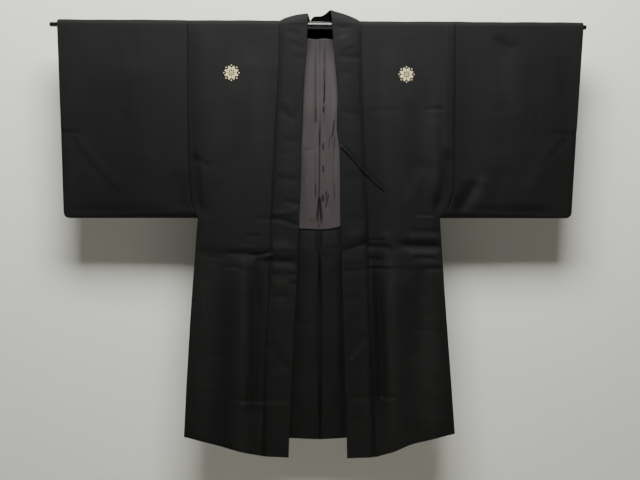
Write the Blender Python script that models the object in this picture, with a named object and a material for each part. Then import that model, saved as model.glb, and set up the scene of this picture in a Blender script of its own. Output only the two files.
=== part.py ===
"""A men's haori jacket that hangs flat on a straight rod.

Blender units are metres, +Z is up. X runs along the rod, the wearer's front faces -Y, and the
origin is on the rod's axis at the jacket's centre line. Sizes below are in millimetres, and MM
turns them into metres where a mesh is made. "Left" and "right" are those of someone who looks at
the front, so the left side has negative X.
"""

import math
from collections import namedtuple

import bmesh
import bpy
import numpy as np

MM = 0.001

# Cloth walls, seam allowances included.
CLOTH = 1.5
COLLAR_CLOTH = 2.4
LINING_CLOTH = 1.2
GUSSET_CLOTH = 1.2
SEAM_GAP = 0.3

# The hanging rod: a painted tube with a thinner pin in each end.
ROD_RADIUS = 9.5
ROD_HALF = 600.0
ROD_EDGE = 1.0
PIN_RADIUS = 5.5
PIN_HALF = 622.0
ROD_SIDES = 32
SAME_POINT = 0.01

# The body panels.
OVER_ROD = ROD_RADIUS + SEAM_GAP + CLOTH / 2
NECK_HALF = 94.0
NECK_CORNER_X = 70.0
NECK_CORNER_TOP = -10.0
NECK_DEPTH = -28.5
ARMHOLE_X = 310.0

# The sleeves.
SLEEVE_DROP = 445.0
CUFF_OPENING = 253.0
SLEEVE_CORNER = 12.0
SLEEVE_SLIM_REACH = 260.0
SleeveEnd = namedtuple("SleeveEnd", "top low")
SLEEVE_END = {"left": SleeveEnd(603, 589), "right": SleeveEnd(613, 586)}

# The gussets fold inwards as a pleat that deepens towards the hem.
GUSSET_DEPTH_TOP = 0.5
GUSSET_DEPTH_HEM = 22.0

# The tie cord.
TIE_RADIUS = 2.2

SIDES = {"left": -1, "right": 1}

# Distances from the centre line to the collar's inner fold, the collar's seam and the side seam,
# a row for each height.
Line = namedtuple("Line", "z left_fold left_seam left_side right_fold right_seam right_side")
LINES = (
    Line(0, 28, 94, 304.5, 27, 94, 312.5),
    Line(-35, 30, 93, 304.5, 30, 94, 312.5),
    Line(-70, 32, 92.5, 304.5, 33, 94.5, 312.5),
    Line(-150, 38, 96.5, 304, 41, 96, 312.5),
    Line(-240, 41, 102, 303, 38, 99, 311.5),
    Line(-285, 43, 104, 302.5, 45, 101, 311),
    Line(-380, 45, 109, 299.5, 46, 105, 309),
    Line(-420, 47, 110.5, 293, 46, 108, 298),
    Line(-445, 48, 112, 281, 46, 109, 277),
    Line(-510, 51, 114, 286, 48, 110, 281),
    Line(-610, 54, 117.5, 293, 51, 111, 287),
    Line(-680, 58, 120.5, 298, 53, 114, 292),
    Line(-820, 65, 126, 306, 57, 121, 302),
    Line(-950, 71, 130, 312, 61, 124, 311),
    Line(-1010, 73, 131, 314, 62, 125, 313),
)

# How low the front hem hangs, a row for each distance from the centre line.
Hem = namedtuple("Hem", "x left right")
FRONT_HEM = (
    Hem(60, -996, -998),
    Hem(130, -992, -995),
    Hem(165, -986, -985),
    Hem(206, -976, -969),
    Hem(260, -960, -955),
    Hem(312, -947, -943),
)
BACK_HEM = (
    Hem(0, -963, -963),
    Hem(120, -959, -959),
    Hem(312, -947, -943),
)

# Half the distance between the front and the back sheet, a row for each height: at the body, and
# at the cuff's end of a sleeve.
Gap = namedtuple("Gap", "z body cuff")
GAPS = (
    Gap(0, OVER_ROD, OVER_ROD),
    Gap(-60, 11.0, 9.2),
    Gap(-150, 11.5, 7.2),
    Gap(-250, 12.0, 5.2),
    Gap(-445, 13.0, 3.4),
    Gap(-700, 16.0, 3.4),
    Gap(-1010, 21.0, 3.4),
)

# Soft folds of the front and back sheets, from an upper to a lower end. A positive depth stands
# out from the garment, and each fold fades in and out over FOLD_FADE of its length.
FOLD_FADE = 0.2
Fold = namedtuple("Fold", "x_top z_top x_low z_low width depth")
FRONT_FOLDS = (
    Fold(-148, -520, -152, -930, 15, -4.0),
    Fold(-176, -500, -181, -1100, 15, 3.0),
    Fold(-212, -560, -222, -1100, 18, -2.5),
    Fold(-258, -520, -272, -1100, 20, 2.5),
    Fold(-118, -560, -118, -1100, 12, 2.0),
    Fold(134, -500, 141, -930, 14, -5.0),
    Fold(168, -490, 176, -1100, 16, 3.5),
    Fold(206, -560, 222, -1100, 18, -2.5),
    Fold(250, -520, 268, -1100, 20, 2.5),
    Fold(104, -520, 112, -1100, 12, 2.5),
    Fold(-300, -526, -110, -530, 12, -1.6),
    Fold(300, -512, 60, -506, 12, -1.4),
    Fold(-150, -40, -240, -330, 34, 1.6),
    Fold(150, -40, 232, -330, 34, 1.6),
    Fold(-570, -258, -458, -396, 15, 1.2),
    Fold(560, -262, 470, -400, 18, 1.2),
    Fold(-420, -60, -400, -360, 40, 1.4),
    Fold(430, -60, 410, -360, 40, 1.4),
)
BACK_FOLDS = (
    Fold(-60, -480, -64, -1100, 20, 3.0),
    Fold(62, -500, 68, -1100, 22, 3.5),
    Fold(-128, -430, -140, -1100, 24, -2.5),
    Fold(134, -450, 140, -1100, 24, -3.0),
    Fold(-212, -520, -236, -1100, 26, 3.0),
    Fold(214, -520, 232, -1100, 26, 3.0),
    Fold(-300, -528, 300, -522, 13, -1.5),
    Fold(-170, -40, -240, -360, 38, 1.6),
    Fold(170, -40, 236, -360, 38, 1.6),
    Fold(-430, -60, -400, -360, 42, 1.5),
    Fold(420, -60, 400, -360, 42, 1.5),
)

# The collar round the neck, from the left front over the rod to the right front. turn is how far
# a section has gone round the rod in degrees; seam_x is where it meets the neck seam; the fold
# columns give its free inner fold, and arch how far its middle bulges.
Turn = namedtuple("Turn", "turn seam_x fold_x fold_y fold_z arch")
COLLAR_TURN = (
    Turn(20, -94, -28.0, -12.5, 6.0, 0.5),
    Turn(50, -94, -27.5, -10.0, 17.0, 1.5),
    Turn(75, -94, -27.0, -4.5, 25.5, 3.0),
    Turn(90, -94, -27.0, 0.0, 27.0, 4.0),
    Turn(115, -94, -25.5, 5.0, 23.0, 3.5),
    Turn(145, -94, -23.0, 9.5, 16.0, 2.5),
    Turn(170, -94, -20.5, 12.5, 11.0, 2.0),
    Turn(180, -94, -18.5, 14.5, 9.0, 1.5),
    Turn(180, -88, -16.5, 15.8, 11.0, 1.0),
    Turn(180, -80, -15.3, 16.6, 16.0, 0.5),
    Turn(180, -70, -14.6, 17.2, 23.0, 0.0),
    Turn(180, -50, -12.0, 17.8, 26.5, 0.0),
    Turn(180, -25, -5.0, 18.0, 27.0, 0.0),
    Turn(180, 0, 2.5, 18.0, 27.5, 0.0),
    Turn(180, 25, 8.5, 17.8, 29.5, 0.0),
    Turn(180, 50, 14.0, 17.0, 33.0, 0.0),
    Turn(180, 70, 18.0, 15.8, 36.5, 0.0),
    Turn(180, 80, 20.5, 14.5, 38.5, 0.5),
    Turn(180, 88, 22.5, 13.0, 39.5, 0.8),
    Turn(180, 94, 23.6, 11.5, 39.8, 1.0),
    Turn(170, 94, 24.0, 9.5, 39.5, 1.5),
    Turn(145, 94, 24.2, 6.5, 38.5, 2.0),
    Turn(115, 94, 24.5, 3.5, 37.0, 2.5),
    Turn(90, 94, 25.0, 0.0, 35.0, 3.0),
    Turn(75, 94, 25.2, -4.5, 31.0, 2.5),
    Turn(50, 94, 26.0, -10.0, 20.0, 1.5),
    Turn(20, 94, 27.0, -12.5, 7.0, 0.5),
)

# Shares of the way from the rod to the hem at which the sheets have a row of points. The first
# is the neck seam's corner, and LINING_ROW is where the lining ends.
ROWS = np.array(
    (0.0105, 0.05, 0.10, 0.16, 0.22, 0.28, 0.34, 0.39, 0.43, 0.468)
    + (0.49, 0.53, 0.56, 0.61, 0.67, 0.73, 0.80, 0.87, 0.94, 1.0)
)
LINING_ROW = 10
PANEL_COLUMNS = np.array((0.0, 0.1, 0.2, 0.31, 0.42, 0.53, 0.64, 0.75, 0.86, 1.0))
LINED_COLUMNS = 9
YOKE_COLUMNS = np.array((SEAM_GAP / 2, 25.0, 50.0, 70.0, 80.0, 88.0))
COLLAR_COLUMNS = np.array((0.0, 0.25, 0.5, 0.75, 1.0))
ROD_ANGLES = np.radians((22.5, 45, 67.5, 90, 112.5, 135, 157.5))

SLEEVE_ROWS = np.array(
    (0.0, 0.09, 0.19, 0.29, 0.39, 0.48, CUFF_OPENING / SLEEVE_DROP, 0.66, 0.76, 0.86, 0.94, 1.0)
)
CUFF_ROW = 6
SLEEVE_COLUMNS = np.array((0.0, 0.12, 0.26, 0.4, 0.54, 0.68, 0.8, 0.9, 0.96, 0.985, 1.0))
BOTTOM_ANGLES = np.radians((45, 90, 135))
GUSSET_COLUMNS = np.linspace(0, 1, 9)
LEAST_ROW_STEP = 0.01

# The tie cord's route over the right collar: across, and down from the rod.
TieStep = namedtuple("TieStep", "x z")
TIE_ROUTE = (
    TieStep(47.0, -279.0),
    TieStep(62.0, -295.0),
    TieStep(78.0, -312.5),
    TieStep(93.5, -331.0),
    TieStep(111.0, -349.0),
    TieStep(129.0, -366.0),
    TieStep(147.5, -383.5),
)
TIE_POINTS = 16

# Edges that turn by more than this are shaded sharp.
SHARP_CLOTH = math.radians(50)
SHARP_METAL = math.radians(40)

Paint = namedtuple("Paint", "red green blue roughness metallic")
PAINTS = {
    "silk_black": Paint(0.016, 0.018, 0.017, 0.62, 0.0),
    "lining_mauve": Paint(0.115, 0.082, 0.086, 0.7, 0.0),
    "cord_black": Paint(0.02, 0.02, 0.02, 0.6, 0.0),
    "rod_paint": Paint(0.01, 0.01, 0.011, 0.25, 0.0),
}


def clear_scene():
    for thing in list(bpy.data.objects):
        bpy.data.objects.remove(thing)


def material(name):
    """The named Principled material, made once."""
    if name in bpy.data.materials:
        return bpy.data.materials[name]
    paint = PAINTS[name]
    made = bpy.data.materials.new(name)
    made.use_nodes = True
    shader = made.node_tree.nodes["Principled BSDF"]
    shader.inputs["Base Color"].default_value = (paint.red, paint.green, paint.blue, 1)
    shader.inputs["Roughness"].default_value = paint.roughness
    shader.inputs["Metallic"].default_value = paint.metallic
    return made


def add_object(name, data, paint):
    data.materials.append(material(paint))
    made = bpy.data.objects.new(name, data)
    bpy.context.scene.collection.objects.link(made)
    return made


def smooth(share):
    """0 below 0, 1 above 1, and an S-curve between."""
    share = np.clip(share, 0, 1)
    return share * share * (3 - 2 * share)


def column(table, name, key, value):
    """The named column of a table, read between its rows. Rows run with a falling z or a rising x."""
    keys = np.array([getattr(row, key) for row in table], float)
    values = np.array([getattr(row, name) for row in table], float)
    order = np.argsort(keys)
    return np.interp(value, keys[order], values[order])


def line(side, name, z):
    return column(LINES, f"{side}_{name}", "z", z)


def half_gap(x, z):
    """Half the distance between the sheets: the body's value, easing to the cuff's along a sleeve."""
    share = smooth((np.abs(x) - ARMHOLE_X) / SLEEVE_SLIM_REACH)
    return (1 - share) * column(GAPS, "body", "z", z) + share * column(GAPS, "cuff", "z", z)


def relief(folds, x, z):
    """How far the folds push a sheet out: a bell across each fold that fades in and out along it."""
    total = np.zeros(np.broadcast(x, z).shape)
    for fold in folds:
        run_x = fold.x_low - fold.x_top
        run_z = fold.z_low - fold.z_top
        length = math.hypot(run_x, run_z)
        along = ((x - fold.x_top) * run_x + (z - fold.z_top) * run_z) / length**2
        across = ((x - fold.x_top) * run_z - (z - fold.z_top) * run_x) / length
        ends = smooth(along / FOLD_FADE) * smooth((1 - along) / FOLD_FADE)
        total += fold.depth * np.exp(-((across / fold.width) ** 2)) * ends
    return total


def front_y(x, z):
    return -(half_gap(x, z) + relief(FRONT_FOLDS, x, z))


def back_y(x, z):
    return half_gap(x, z) + relief(BACK_FOLDS, x, z)


def neck_z(x):
    """The neck seam's height at the back: level, with a quarter ellipse at each end."""
    reach = NECK_HALF - NECK_CORNER_X
    share = np.clip((np.abs(x) - NECK_CORNER_X) / reach, 0, 1)
    return NECK_CORNER_TOP + (NECK_DEPTH - NECK_CORNER_TOP) * np.sqrt(1 - share**2)


def front_places(side, shares, rows):
    """x and z of the front sheet, at shares from collar seam to side seam, for rows down to the hem."""
    sign = SIDES[side]
    seam_low = line(side, "seam", FRONT_HEM[0].left)
    side_low = line(side, "side", FRONT_HEM[-1].left)
    hem = column(FRONT_HEM, side, "x", seam_low + shares * (side_low - seam_low))
    z = rows[:, None] * hem[None, :]
    x = (1 - shares) * line(side, "seam", z) + shares * line(side, "side", z)
    return sign * x, z


def back_places(side, shares, rows):
    """x and z of the back sheet outside the neck, for rows down to the hem."""
    sign = SIDES[side]
    side_low = line(side, "side", BACK_HEM[-1].left)
    hem = column(BACK_HEM, side, "x", NECK_HALF + shares * (side_low - NECK_HALF))
    z = rows[:, None] * hem[None, :]
    x = (1 - shares) * NECK_HALF + shares * line(side, "side", z)
    return sign * x, z


def yoke_places(side, rows):
    """x and z of the back sheet below the neck. Its first row is the neck seam."""
    hem = column(BACK_HEM, side, "x", YOKE_COLUMNS)
    z = rows[:, None] * hem[None, :]
    z[0] = neck_z(YOKE_COLUMNS)
    x = np.broadcast_to(YOKE_COLUMNS, z.shape)
    return SIDES[side] * x, z


def stack(x, y, z):
    return np.stack(np.broadcast_arrays(x, y, z), axis=-1)


def grid_faces(rows, columns, first=0):
    """Quads of a grid whose points are numbered row by row from first."""
    faces = []
    for row in range(rows - 1):
        for place in range(columns - 1):
            corner = first + row * columns + place
            faces.append((corner, corner + 1, corner + columns + 1, corner + columns))
    return faces


def cloth(name, outer, inner, faces, paint):
    """A closed cloth wall: the outer sheet is made, extruded as one region, and the new sheet is
    moved on to the inner points."""
    mesh = bmesh.new()
    number = mesh.verts.layers.int.new("number")
    for index, point in enumerate(outer):
        mesh.verts.new(point * MM)[number] = index
    mesh.verts.ensure_lookup_table()
    for face in faces:
        mesh.faces.new([mesh.verts[index] for index in face])
    made = bmesh.ops.extrude_face_region(mesh, geom=mesh.faces[:], use_keep_orig=True)
    for part in made["geom"]:
        if isinstance(part, bmesh.types.BMVert):
            part.co = inner[part[number]] * MM
    bmesh.ops.recalc_face_normals(mesh, faces=mesh.faces[:])
    data = bpy.data.meshes.new(name)
    mesh.to_mesh(data)
    mesh.free()
    data.shade_smooth()
    data.set_sharp_from_angle(angle=SHARP_CLOTH)
    return add_object(name, data, paint)


def body_panel(side):
    """One length of silk from the front hem over the rod to the back hem, with the part of the
    back below the neck joined on."""
    shares = PANEL_COLUMNS
    half = CLOTH / 2
    front_x, front_z = front_places(side, shares, ROWS[::-1])
    top_x, _ = front_places(side, shares, np.zeros(len(ROD_ANGLES) + 2))
    angles = np.concatenate([[0], ROD_ANGLES, [math.pi]])[:, None]
    back_x, back_z = back_places(side, shares, ROWS)
    outer, inner = [], []
    for offset, points in ((half, outer), (-half, inner)):
        radius = OVER_ROD + offset
        points.append(stack(front_x, front_y(front_x, front_z) - offset, front_z))
        points.append(stack(top_x, -radius * np.cos(angles), radius * np.sin(angles)))
        points.append(stack(back_x, back_y(back_x, back_z) + offset, back_z))
    outer = np.concatenate(outer)
    inner = np.concatenate(inner)
    rows, columns = outer.shape[:2]
    faces = grid_faces(rows, columns)
    yoke_x, yoke_z = yoke_places(side, ROWS)
    yoke_outer = stack(yoke_x, back_y(yoke_x, yoke_z) + half, yoke_z)
    yoke_inner = stack(yoke_x, back_y(yoke_x, yoke_z) - half, yoke_z)
    first = rows * columns
    count = len(YOKE_COLUMNS)
    faces += grid_faces(len(ROWS), count, first)
    edge = (rows - len(ROWS)) * columns
    for row in range(len(ROWS) - 1):
        upper = first + row * count + count - 1
        panel = edge + row * columns
        faces.append((upper, panel, panel + columns, upper + count))
    outer = np.concatenate([outer.reshape(-1, 3), yoke_outer.reshape(-1, 3)])
    inner = np.concatenate([inner.reshape(-1, 3), yoke_inner.reshape(-1, 3)])
    return cloth(f"body_{side}", outer, inner, faces, "silk_black")


def inside_back(name, side, low_row, high_row, top_gap, paint):
    """A sheet that lies on the inside of the back, between two of its rows, made from its points."""
    rows = ROWS[low_row:high_row]
    yoke_x, yoke_z = yoke_places(side, ROWS)
    panel_x, panel_z = back_places(side, PANEL_COLUMNS[:LINED_COLUMNS], rows)
    x = np.concatenate([yoke_x[low_row:high_row], panel_x], axis=1)
    z = np.concatenate([yoke_z[low_row:high_row], panel_z], axis=1)
    y = back_y(x, z) - CLOTH / 2 - SEAM_GAP
    z[0] -= top_gap
    outer = stack(x, y, z).reshape(-1, 3)
    inner = stack(x, y - LINING_CLOTH, z).reshape(-1, 3)
    return cloth(name, outer, inner, grid_faces(*x.shape), paint)


def sleeve_x(side, shares, z):
    """Distance from the centre line, at shares of the way from the armhole's seam to the cuff."""
    end = SLEEVE_END[side]
    cuff = end.top + (end.low - end.top) * z / -SLEEVE_DROP
    return (1 - shares) * (line(side, "side", z) + SEAM_GAP) + shares * cuff


def sleeve(side):
    """A flattened tube round the rod. Its bottom is a fold, and its outer end is closed below the
    cuff's opening. The armhole's end is open to the body."""
    sign = SIDES[side]
    half = CLOTH / 2
    shares = SLEEVE_COLUMNS
    low_x = sleeve_x(side, shares, -SLEEVE_DROP)
    inset = np.clip(SLEEVE_CORNER - (low_x[-1] - low_x), 0, SLEEVE_CORNER)
    raised = SLEEVE_CORNER - np.sqrt(SLEEVE_CORNER**2 - inset**2)
    bottom = -SLEEVE_DROP + raised
    turn_z = bottom + half_gap(low_x, -SLEEVE_DROP)
    z = SLEEVE_ROWS[:, None] * turn_z[None, :]
    x = sleeve_x(side, shares, z)
    front = front_y(sign * x, z)
    back = back_y(sign * x, z)
    middle = (front[-1] + back[-1]) / 2
    reach_y = (back[-1] - front[-1]) / 2
    reach_z = turn_z - bottom
    over = ROD_ANGLES[:, None]
    under = BOTTOM_ANGLES[:, None]
    under_x = sleeve_x(side, shares, turn_z - reach_z * np.sin(under))
    outer, inner = [], []
    for offset, points in ((half, outer), (-half, inner)):
        radius = OVER_ROD + offset
        low_y = middle - (reach_y + offset) * np.cos(under)
        low_z = turn_z - (reach_z + offset - half) * np.sin(under)
        points.append(stack(x, front - offset, z))
        points.append(stack(under_x, low_y, low_z))
        points.append(stack(x, back + offset, z)[::-1])
        points.append(stack(x[0], radius * np.cos(over), radius * np.sin(over)))
    outer = np.concatenate(outer)
    inner = np.concatenate(inner)
    count = len(SLEEVE_ROWS)
    mirror = 2 * count + len(BOTTOM_ANGLES) - 1
    closed = slice(CUFF_ROW, mirror - CUFF_ROW + 1)
    inner[closed, -1, 0] -= CLOTH
    outer[..., 0] *= sign
    inner[..., 0] *= sign
    loop, columns = outer.shape[:2]
    faces = grid_faces(loop, columns)
    for place in range(columns - 1):
        last = (loop - 1) * columns + place
        faces.append((last, last + 1, place + 1, place))
    for row in range(CUFF_ROW, count):
        corners = (row, row + 1, mirror - row - 1, mirror - row)
        faces.append([corner * columns + columns - 1 for corner in corners])
    tip = (count, count + 1, count + 2)
    faces.append([corner * columns + columns - 1 for corner in tip])
    return cloth(
        f"sleeve_{side}", outer.reshape(-1, 3), inner.reshape(-1, 3), faces, "silk_black"
    )


def gusset(side):
    """The side strip below the sleeve, between the front and the back, folded inwards as a pleat."""
    sign = SIDES[side]
    hem = column(FRONT_HEM, side, "x", line(side, "side", FRONT_HEM[-1].left))
    top = (SLEEVE_DROP + 2 * SEAM_GAP) / -hem
    rows = np.concatenate([[top], ROWS[ROWS > top + LEAST_ROW_STEP]])
    across = GUSSET_COLUMNS[None, :]
    z = (rows * hem)[:, None]
    depth = GUSSET_DEPTH_TOP + (GUSSET_DEPTH_HEM - GUSSET_DEPTH_TOP) * smooth(
        (z + SLEEVE_DROP) / (hem + SLEEVE_DROP)
    )
    edge = line(side, "side", z)
    clear = CLOTH / 2 + SEAM_GAP + GUSSET_CLOTH / 2
    low = front_y(sign * edge, z) + clear
    high = back_y(sign * edge, z) - clear
    x = edge - depth * np.sin(math.pi * across) - GUSSET_CLOTH
    y = low + (high - low) * across
    z = np.repeat(z, across.size, axis=1)
    round_fold = half_gap(edge[0], z[0])
    z[0] = round_fold - SLEEVE_DROP - np.sqrt(round_fold**2 - y[0] ** 2)
    slope_x = -depth * math.pi * np.cos(math.pi * across)
    slope_y = high - low + 0 * across
    size = np.hypot(slope_x, slope_y)
    normal_x = slope_y / size
    normal_y = -slope_x / size
    half = GUSSET_CLOTH / 2
    outer = stack(sign * (x + half * normal_x), y + half * normal_y, z)
    inner = stack(sign * (x - half * normal_x), y - half * normal_y, z)
    faces = grid_faces(*outer.shape[:2])
    return cloth(
        f"gusset_{side}", outer.reshape(-1, 3), inner.reshape(-1, 3), faces, "silk_black"
    )


def collar_front(side):
    """Middle points and outward directions of the collar down one front, from the rod to the hem."""
    sign = SIDES[side]
    rows = np.concatenate([[0.0], ROWS])
    seam_low = line(side, "seam", FRONT_HEM[0].left)
    fold_low = line(side, "fold", FRONT_HEM[0].left)
    across = COLLAR_COLUMNS
    hem = column(FRONT_HEM, side, "x", seam_low + across * (fold_low - seam_low))
    z = rows[:, None] * hem[None, :]
    seam = line(side, "seam", z) - SEAM_GAP
    x = sign * ((1 - across) * seam + across * line(side, "fold", z))
    y = front_y(x, z) - (COLLAR_CLOTH - CLOTH) / 2
    out = np.zeros((len(rows), 3))
    out[:, 1] = -1
    return stack(x, y, z), out


def collar_turn():
    """Middle points and outward directions of the collar round the neck."""
    points, outs = [], []
    radius = OVER_ROD + (COLLAR_CLOTH - CLOTH) / 2
    across = COLLAR_COLUMNS[:, None]
    for row in COLLAR_TURN:
        angle = math.radians(row.turn)
        sign = math.copysign(1, row.seam_x)
        out = np.array([0, -math.cos(angle), math.sin(angle)])
        if row.turn < 180:
            seam = np.array([row.seam_x - sign * SEAM_GAP, *(radius * out[1:])])
        else:
            height = neck_z(row.seam_x)
            lean = max(abs(row.seam_x) - NECK_CORNER_X, 0) / (NECK_HALF - NECK_CORNER_X)
            seam = np.array([row.seam_x - sign * SEAM_GAP * lean, 0, height])
            seam[2] += SEAM_GAP * math.sqrt(1 - lean**2)
            seam[1] = back_y(seam[0], seam[2]) + (COLLAR_CLOTH - CLOTH) / 2
        fold = np.array([row.fold_x, row.fold_y, row.fold_z])
        bulge = 4 * across * (1 - across) * row.arch * out
        points.append((1 - across) * seam + across * fold + bulge)
        outs.append(out)
    return np.array(points), np.array(outs)


def collar():
    """One long strip folded double: up the left front, round the neck and down the right front."""
    left, left_out = collar_front("left")
    turn, turn_out = collar_turn()
    right, right_out = collar_front("right")
    points = np.concatenate([left[::-1], turn, right])
    outs = np.concatenate([left_out[::-1], turn_out, right_out])[:, None, :]
    outer = points + outs * COLLAR_CLOTH / 2
    inner = points - outs * COLLAR_CLOTH / 2
    faces = grid_faces(*points.shape[:2])
    return cloth("collar", outer.reshape(-1, 3), inner.reshape(-1, 3), faces, "silk_black")


def rod():
    """A bar turned about X from its half profile, which starts and ends on the axis."""
    profile = (
        (-PIN_HALF, 0),
        (-PIN_HALF, PIN_RADIUS - ROD_EDGE),
        (-PIN_HALF + ROD_EDGE, PIN_RADIUS),
        (-ROD_HALF, PIN_RADIUS),
        (-ROD_HALF, ROD_RADIUS - ROD_EDGE),
        (-ROD_HALF + ROD_EDGE, ROD_RADIUS),
        (ROD_HALF - ROD_EDGE, ROD_RADIUS),
        (ROD_HALF, ROD_RADIUS - ROD_EDGE),
        (ROD_HALF, PIN_RADIUS),
        (PIN_HALF - ROD_EDGE, PIN_RADIUS),
        (PIN_HALF, PIN_RADIUS - ROD_EDGE),
        (PIN_HALF, 0),
    )
    mesh = bmesh.new()
    points = [mesh.verts.new((x * MM, 0, z * MM)) for x, z in profile]
    edges = [mesh.edges.new(pair) for pair in zip(points, points[1:])]
    bmesh.ops.spin(
        mesh,
        geom=points + edges,
        axis=(1, 0, 0),
        cent=(0, 0, 0),
        angle=2 * math.pi,
        steps=ROD_SIDES,
        use_merge=True,
    )
    bmesh.ops.remove_doubles(mesh, verts=mesh.verts[:], dist=SAME_POINT * MM)
    bmesh.ops.recalc_face_normals(mesh, faces=mesh.faces[:])
    data = bpy.data.meshes.new("rod")
    mesh.to_mesh(data)
    mesh.free()
    data.shade_smooth()
    data.set_sharp_from_angle(angle=SHARP_METAL)
    return add_object("rod", data, "rod_paint")


def tie_cord():
    """The flat tie as a round tube that lies on the right collar and front."""
    steps = np.linspace(0, 1, TIE_POINTS)
    given = np.linspace(0, 1, len(TIE_ROUTE))
    x = np.interp(steps, given, [step.x for step in TIE_ROUTE])
    z = np.interp(steps, given, [step.z for step in TIE_ROUTE])
    clear = COLLAR_CLOTH - CLOTH / 2 + SEAM_GAP + TIE_RADIUS
    y = front_y(x, z) - clear
    data = bpy.data.curves.new("tie_cord", "CURVE")
    data.dimensions = "3D"
    data.bevel_depth = TIE_RADIUS * MM
    data.bevel_resolution = 2
    data.use_fill_caps = True
    spline = data.splines.new("POLY")
    spline.points.add(TIE_POINTS - 1)
    for point, place in zip(spline.points, stack(x, y, z) * MM):
        point.co = (*place, 1)
    return add_object("tie_cord", data, "cord_black")


def main():
    clear_scene()
    for side in SIDES:
        body_panel(side)
        sleeve(side)
        gusset(side)
        inside_back(f"lining_{side}", side, 0, LINING_ROW + 1, 0.0, "lining_mauve")
        inside_back(f"facing_{side}", side, LINING_ROW, len(ROWS), SEAM_GAP, "silk_black")
    collar()
    rod()
    tie_cord()


main()
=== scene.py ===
# %% [markdown]
# # A haori on its hanging rod
# A haori is a short coat of straight widths of silk. Two lengths of cloth run from the front hem
# over the shoulder to the back hem, a tube of cloth is sewn to each side as a sleeve, narrow
# gussets fill the sides below the sleeves, and one long collar, folded double, goes up one front,
# round the neck and down the other. This one hangs flat on a straight rod through its sleeves.
#
# Each piece of cloth here is a sheet worked out on a grid, as its x and z on the hanging cloth,
# with its depth y given by one shared surface. Sheets that are sewn together read the same
# surface, so they meet. Lengths are in millimetres, and MM turns them into Blender's metres.

import math
from collections import namedtuple

import bpy
import numpy as np
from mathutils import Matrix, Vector


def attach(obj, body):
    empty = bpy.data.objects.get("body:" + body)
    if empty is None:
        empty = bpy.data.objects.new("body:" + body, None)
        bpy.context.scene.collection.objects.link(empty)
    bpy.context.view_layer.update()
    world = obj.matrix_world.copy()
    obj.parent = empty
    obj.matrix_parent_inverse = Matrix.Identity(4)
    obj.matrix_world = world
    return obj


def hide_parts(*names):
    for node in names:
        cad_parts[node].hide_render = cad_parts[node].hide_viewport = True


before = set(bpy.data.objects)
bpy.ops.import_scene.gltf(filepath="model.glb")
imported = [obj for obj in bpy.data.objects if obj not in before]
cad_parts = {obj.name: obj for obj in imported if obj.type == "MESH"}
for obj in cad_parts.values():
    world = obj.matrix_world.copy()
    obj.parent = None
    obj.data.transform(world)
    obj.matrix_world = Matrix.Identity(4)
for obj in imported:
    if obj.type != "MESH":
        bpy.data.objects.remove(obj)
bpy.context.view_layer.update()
MM = 0.001
SIDES = {"left": -1, "right": 1}
print("frame nodes:", ", ".join(sorted(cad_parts)))

# %% [markdown]
# ## Camera
# The coat is nearly two-dimensional, so it is seen straight from the front, from two metres away
# with a slightly long lens. The camera stands a little left of the middle, level with the middle
# of the coat, and looks at the centre line.

# %% Camera
CAMERA_AT = Vector((-0.049, -1.999, -0.4965))
CAMERA_LOOKS_AT = Vector((0.0, 0.0, -0.4965))
CAMERA_LENS = 48.5

camera = bpy.data.objects.new("camera", bpy.data.cameras.new("camera"))
camera.location = CAMERA_AT
camera.rotation_euler = (CAMERA_LOOKS_AT - CAMERA_AT).to_track_quat("-Z", "Y").to_euler()
camera.data.lens = CAMERA_LENS
bpy.context.scene.collection.objects.link(camera)
bpy.context.scene.camera = camera
print("camera:", tuple(camera.location), "lens", camera.data.lens)

# %% [markdown]
# ## Light and backdrop
# Black silk shows its folds only where light rakes over it, so the main light is a wide panel
# close in front and high. It lights the shoulders four times as much as the hem, as a lamp under
# a ceiling does, and throws a soft shadow on the wall below the sleeves. A weaker panel from the
# upper left separates the two flanks of each upright fold. The backdrop is one pale sheet that
# curves from floor to wall. Its back is see-through and it doesn't block the lamp behind it, so
# that the coat can be looked at from behind as well.

# %% Lights
Lamp = namedtuple("Lamp", "name at looks_at size_x size_y watts")
LAMPS = (
    Lamp("key", (-0.05, -1.1, 1.15), (0.0, 0.0, -0.2), 1.5, 0.7, 84),
    Lamp("fill", (-2.2, -0.7, 0.6), (0.0, 0.0, -0.4), 0.7, 0.7, 3),
    Lamp("back", (0.5, 1.8, 1.2), (0.0, 0.0, -0.3), 1.6, 0.8, 84),
)
WORLD_LIGHT = 0.012
WORLD_SEEN = 0.75

for lamp in LAMPS:
    light = bpy.data.lights.new(lamp.name, "AREA")
    light.shape = "RECTANGLE"
    light.size = lamp.size_x
    light.size_y = lamp.size_y
    light.energy = lamp.watts
    holder = bpy.data.objects.new(lamp.name, light)
    holder.location = lamp.at
    aim = Vector(lamp.looks_at) - Vector(lamp.at)
    holder.rotation_euler = aim.to_track_quat("-Z", "Y").to_euler()
    bpy.context.scene.collection.objects.link(holder)

world = bpy.data.worlds.new("studio")
world.use_nodes = True
surround = world.node_tree.nodes["Background"]
surround.inputs["Color"].default_value = (0.93, 0.95, 0.94, 1)
seen = world.node_tree.nodes.new("ShaderNodeLightPath")
strength = world.node_tree.nodes.new("ShaderNodeMapRange")
strength.inputs["To Min"].default_value = WORLD_LIGHT
strength.inputs["To Max"].default_value = WORLD_SEEN
world.node_tree.links.new(seen.outputs["Is Camera Ray"], strength.inputs["Value"])
world.node_tree.links.new(strength.outputs["Result"], surround.inputs["Strength"])
bpy.context.scene.world = world
print("lamps:", len(LAMPS))


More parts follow.
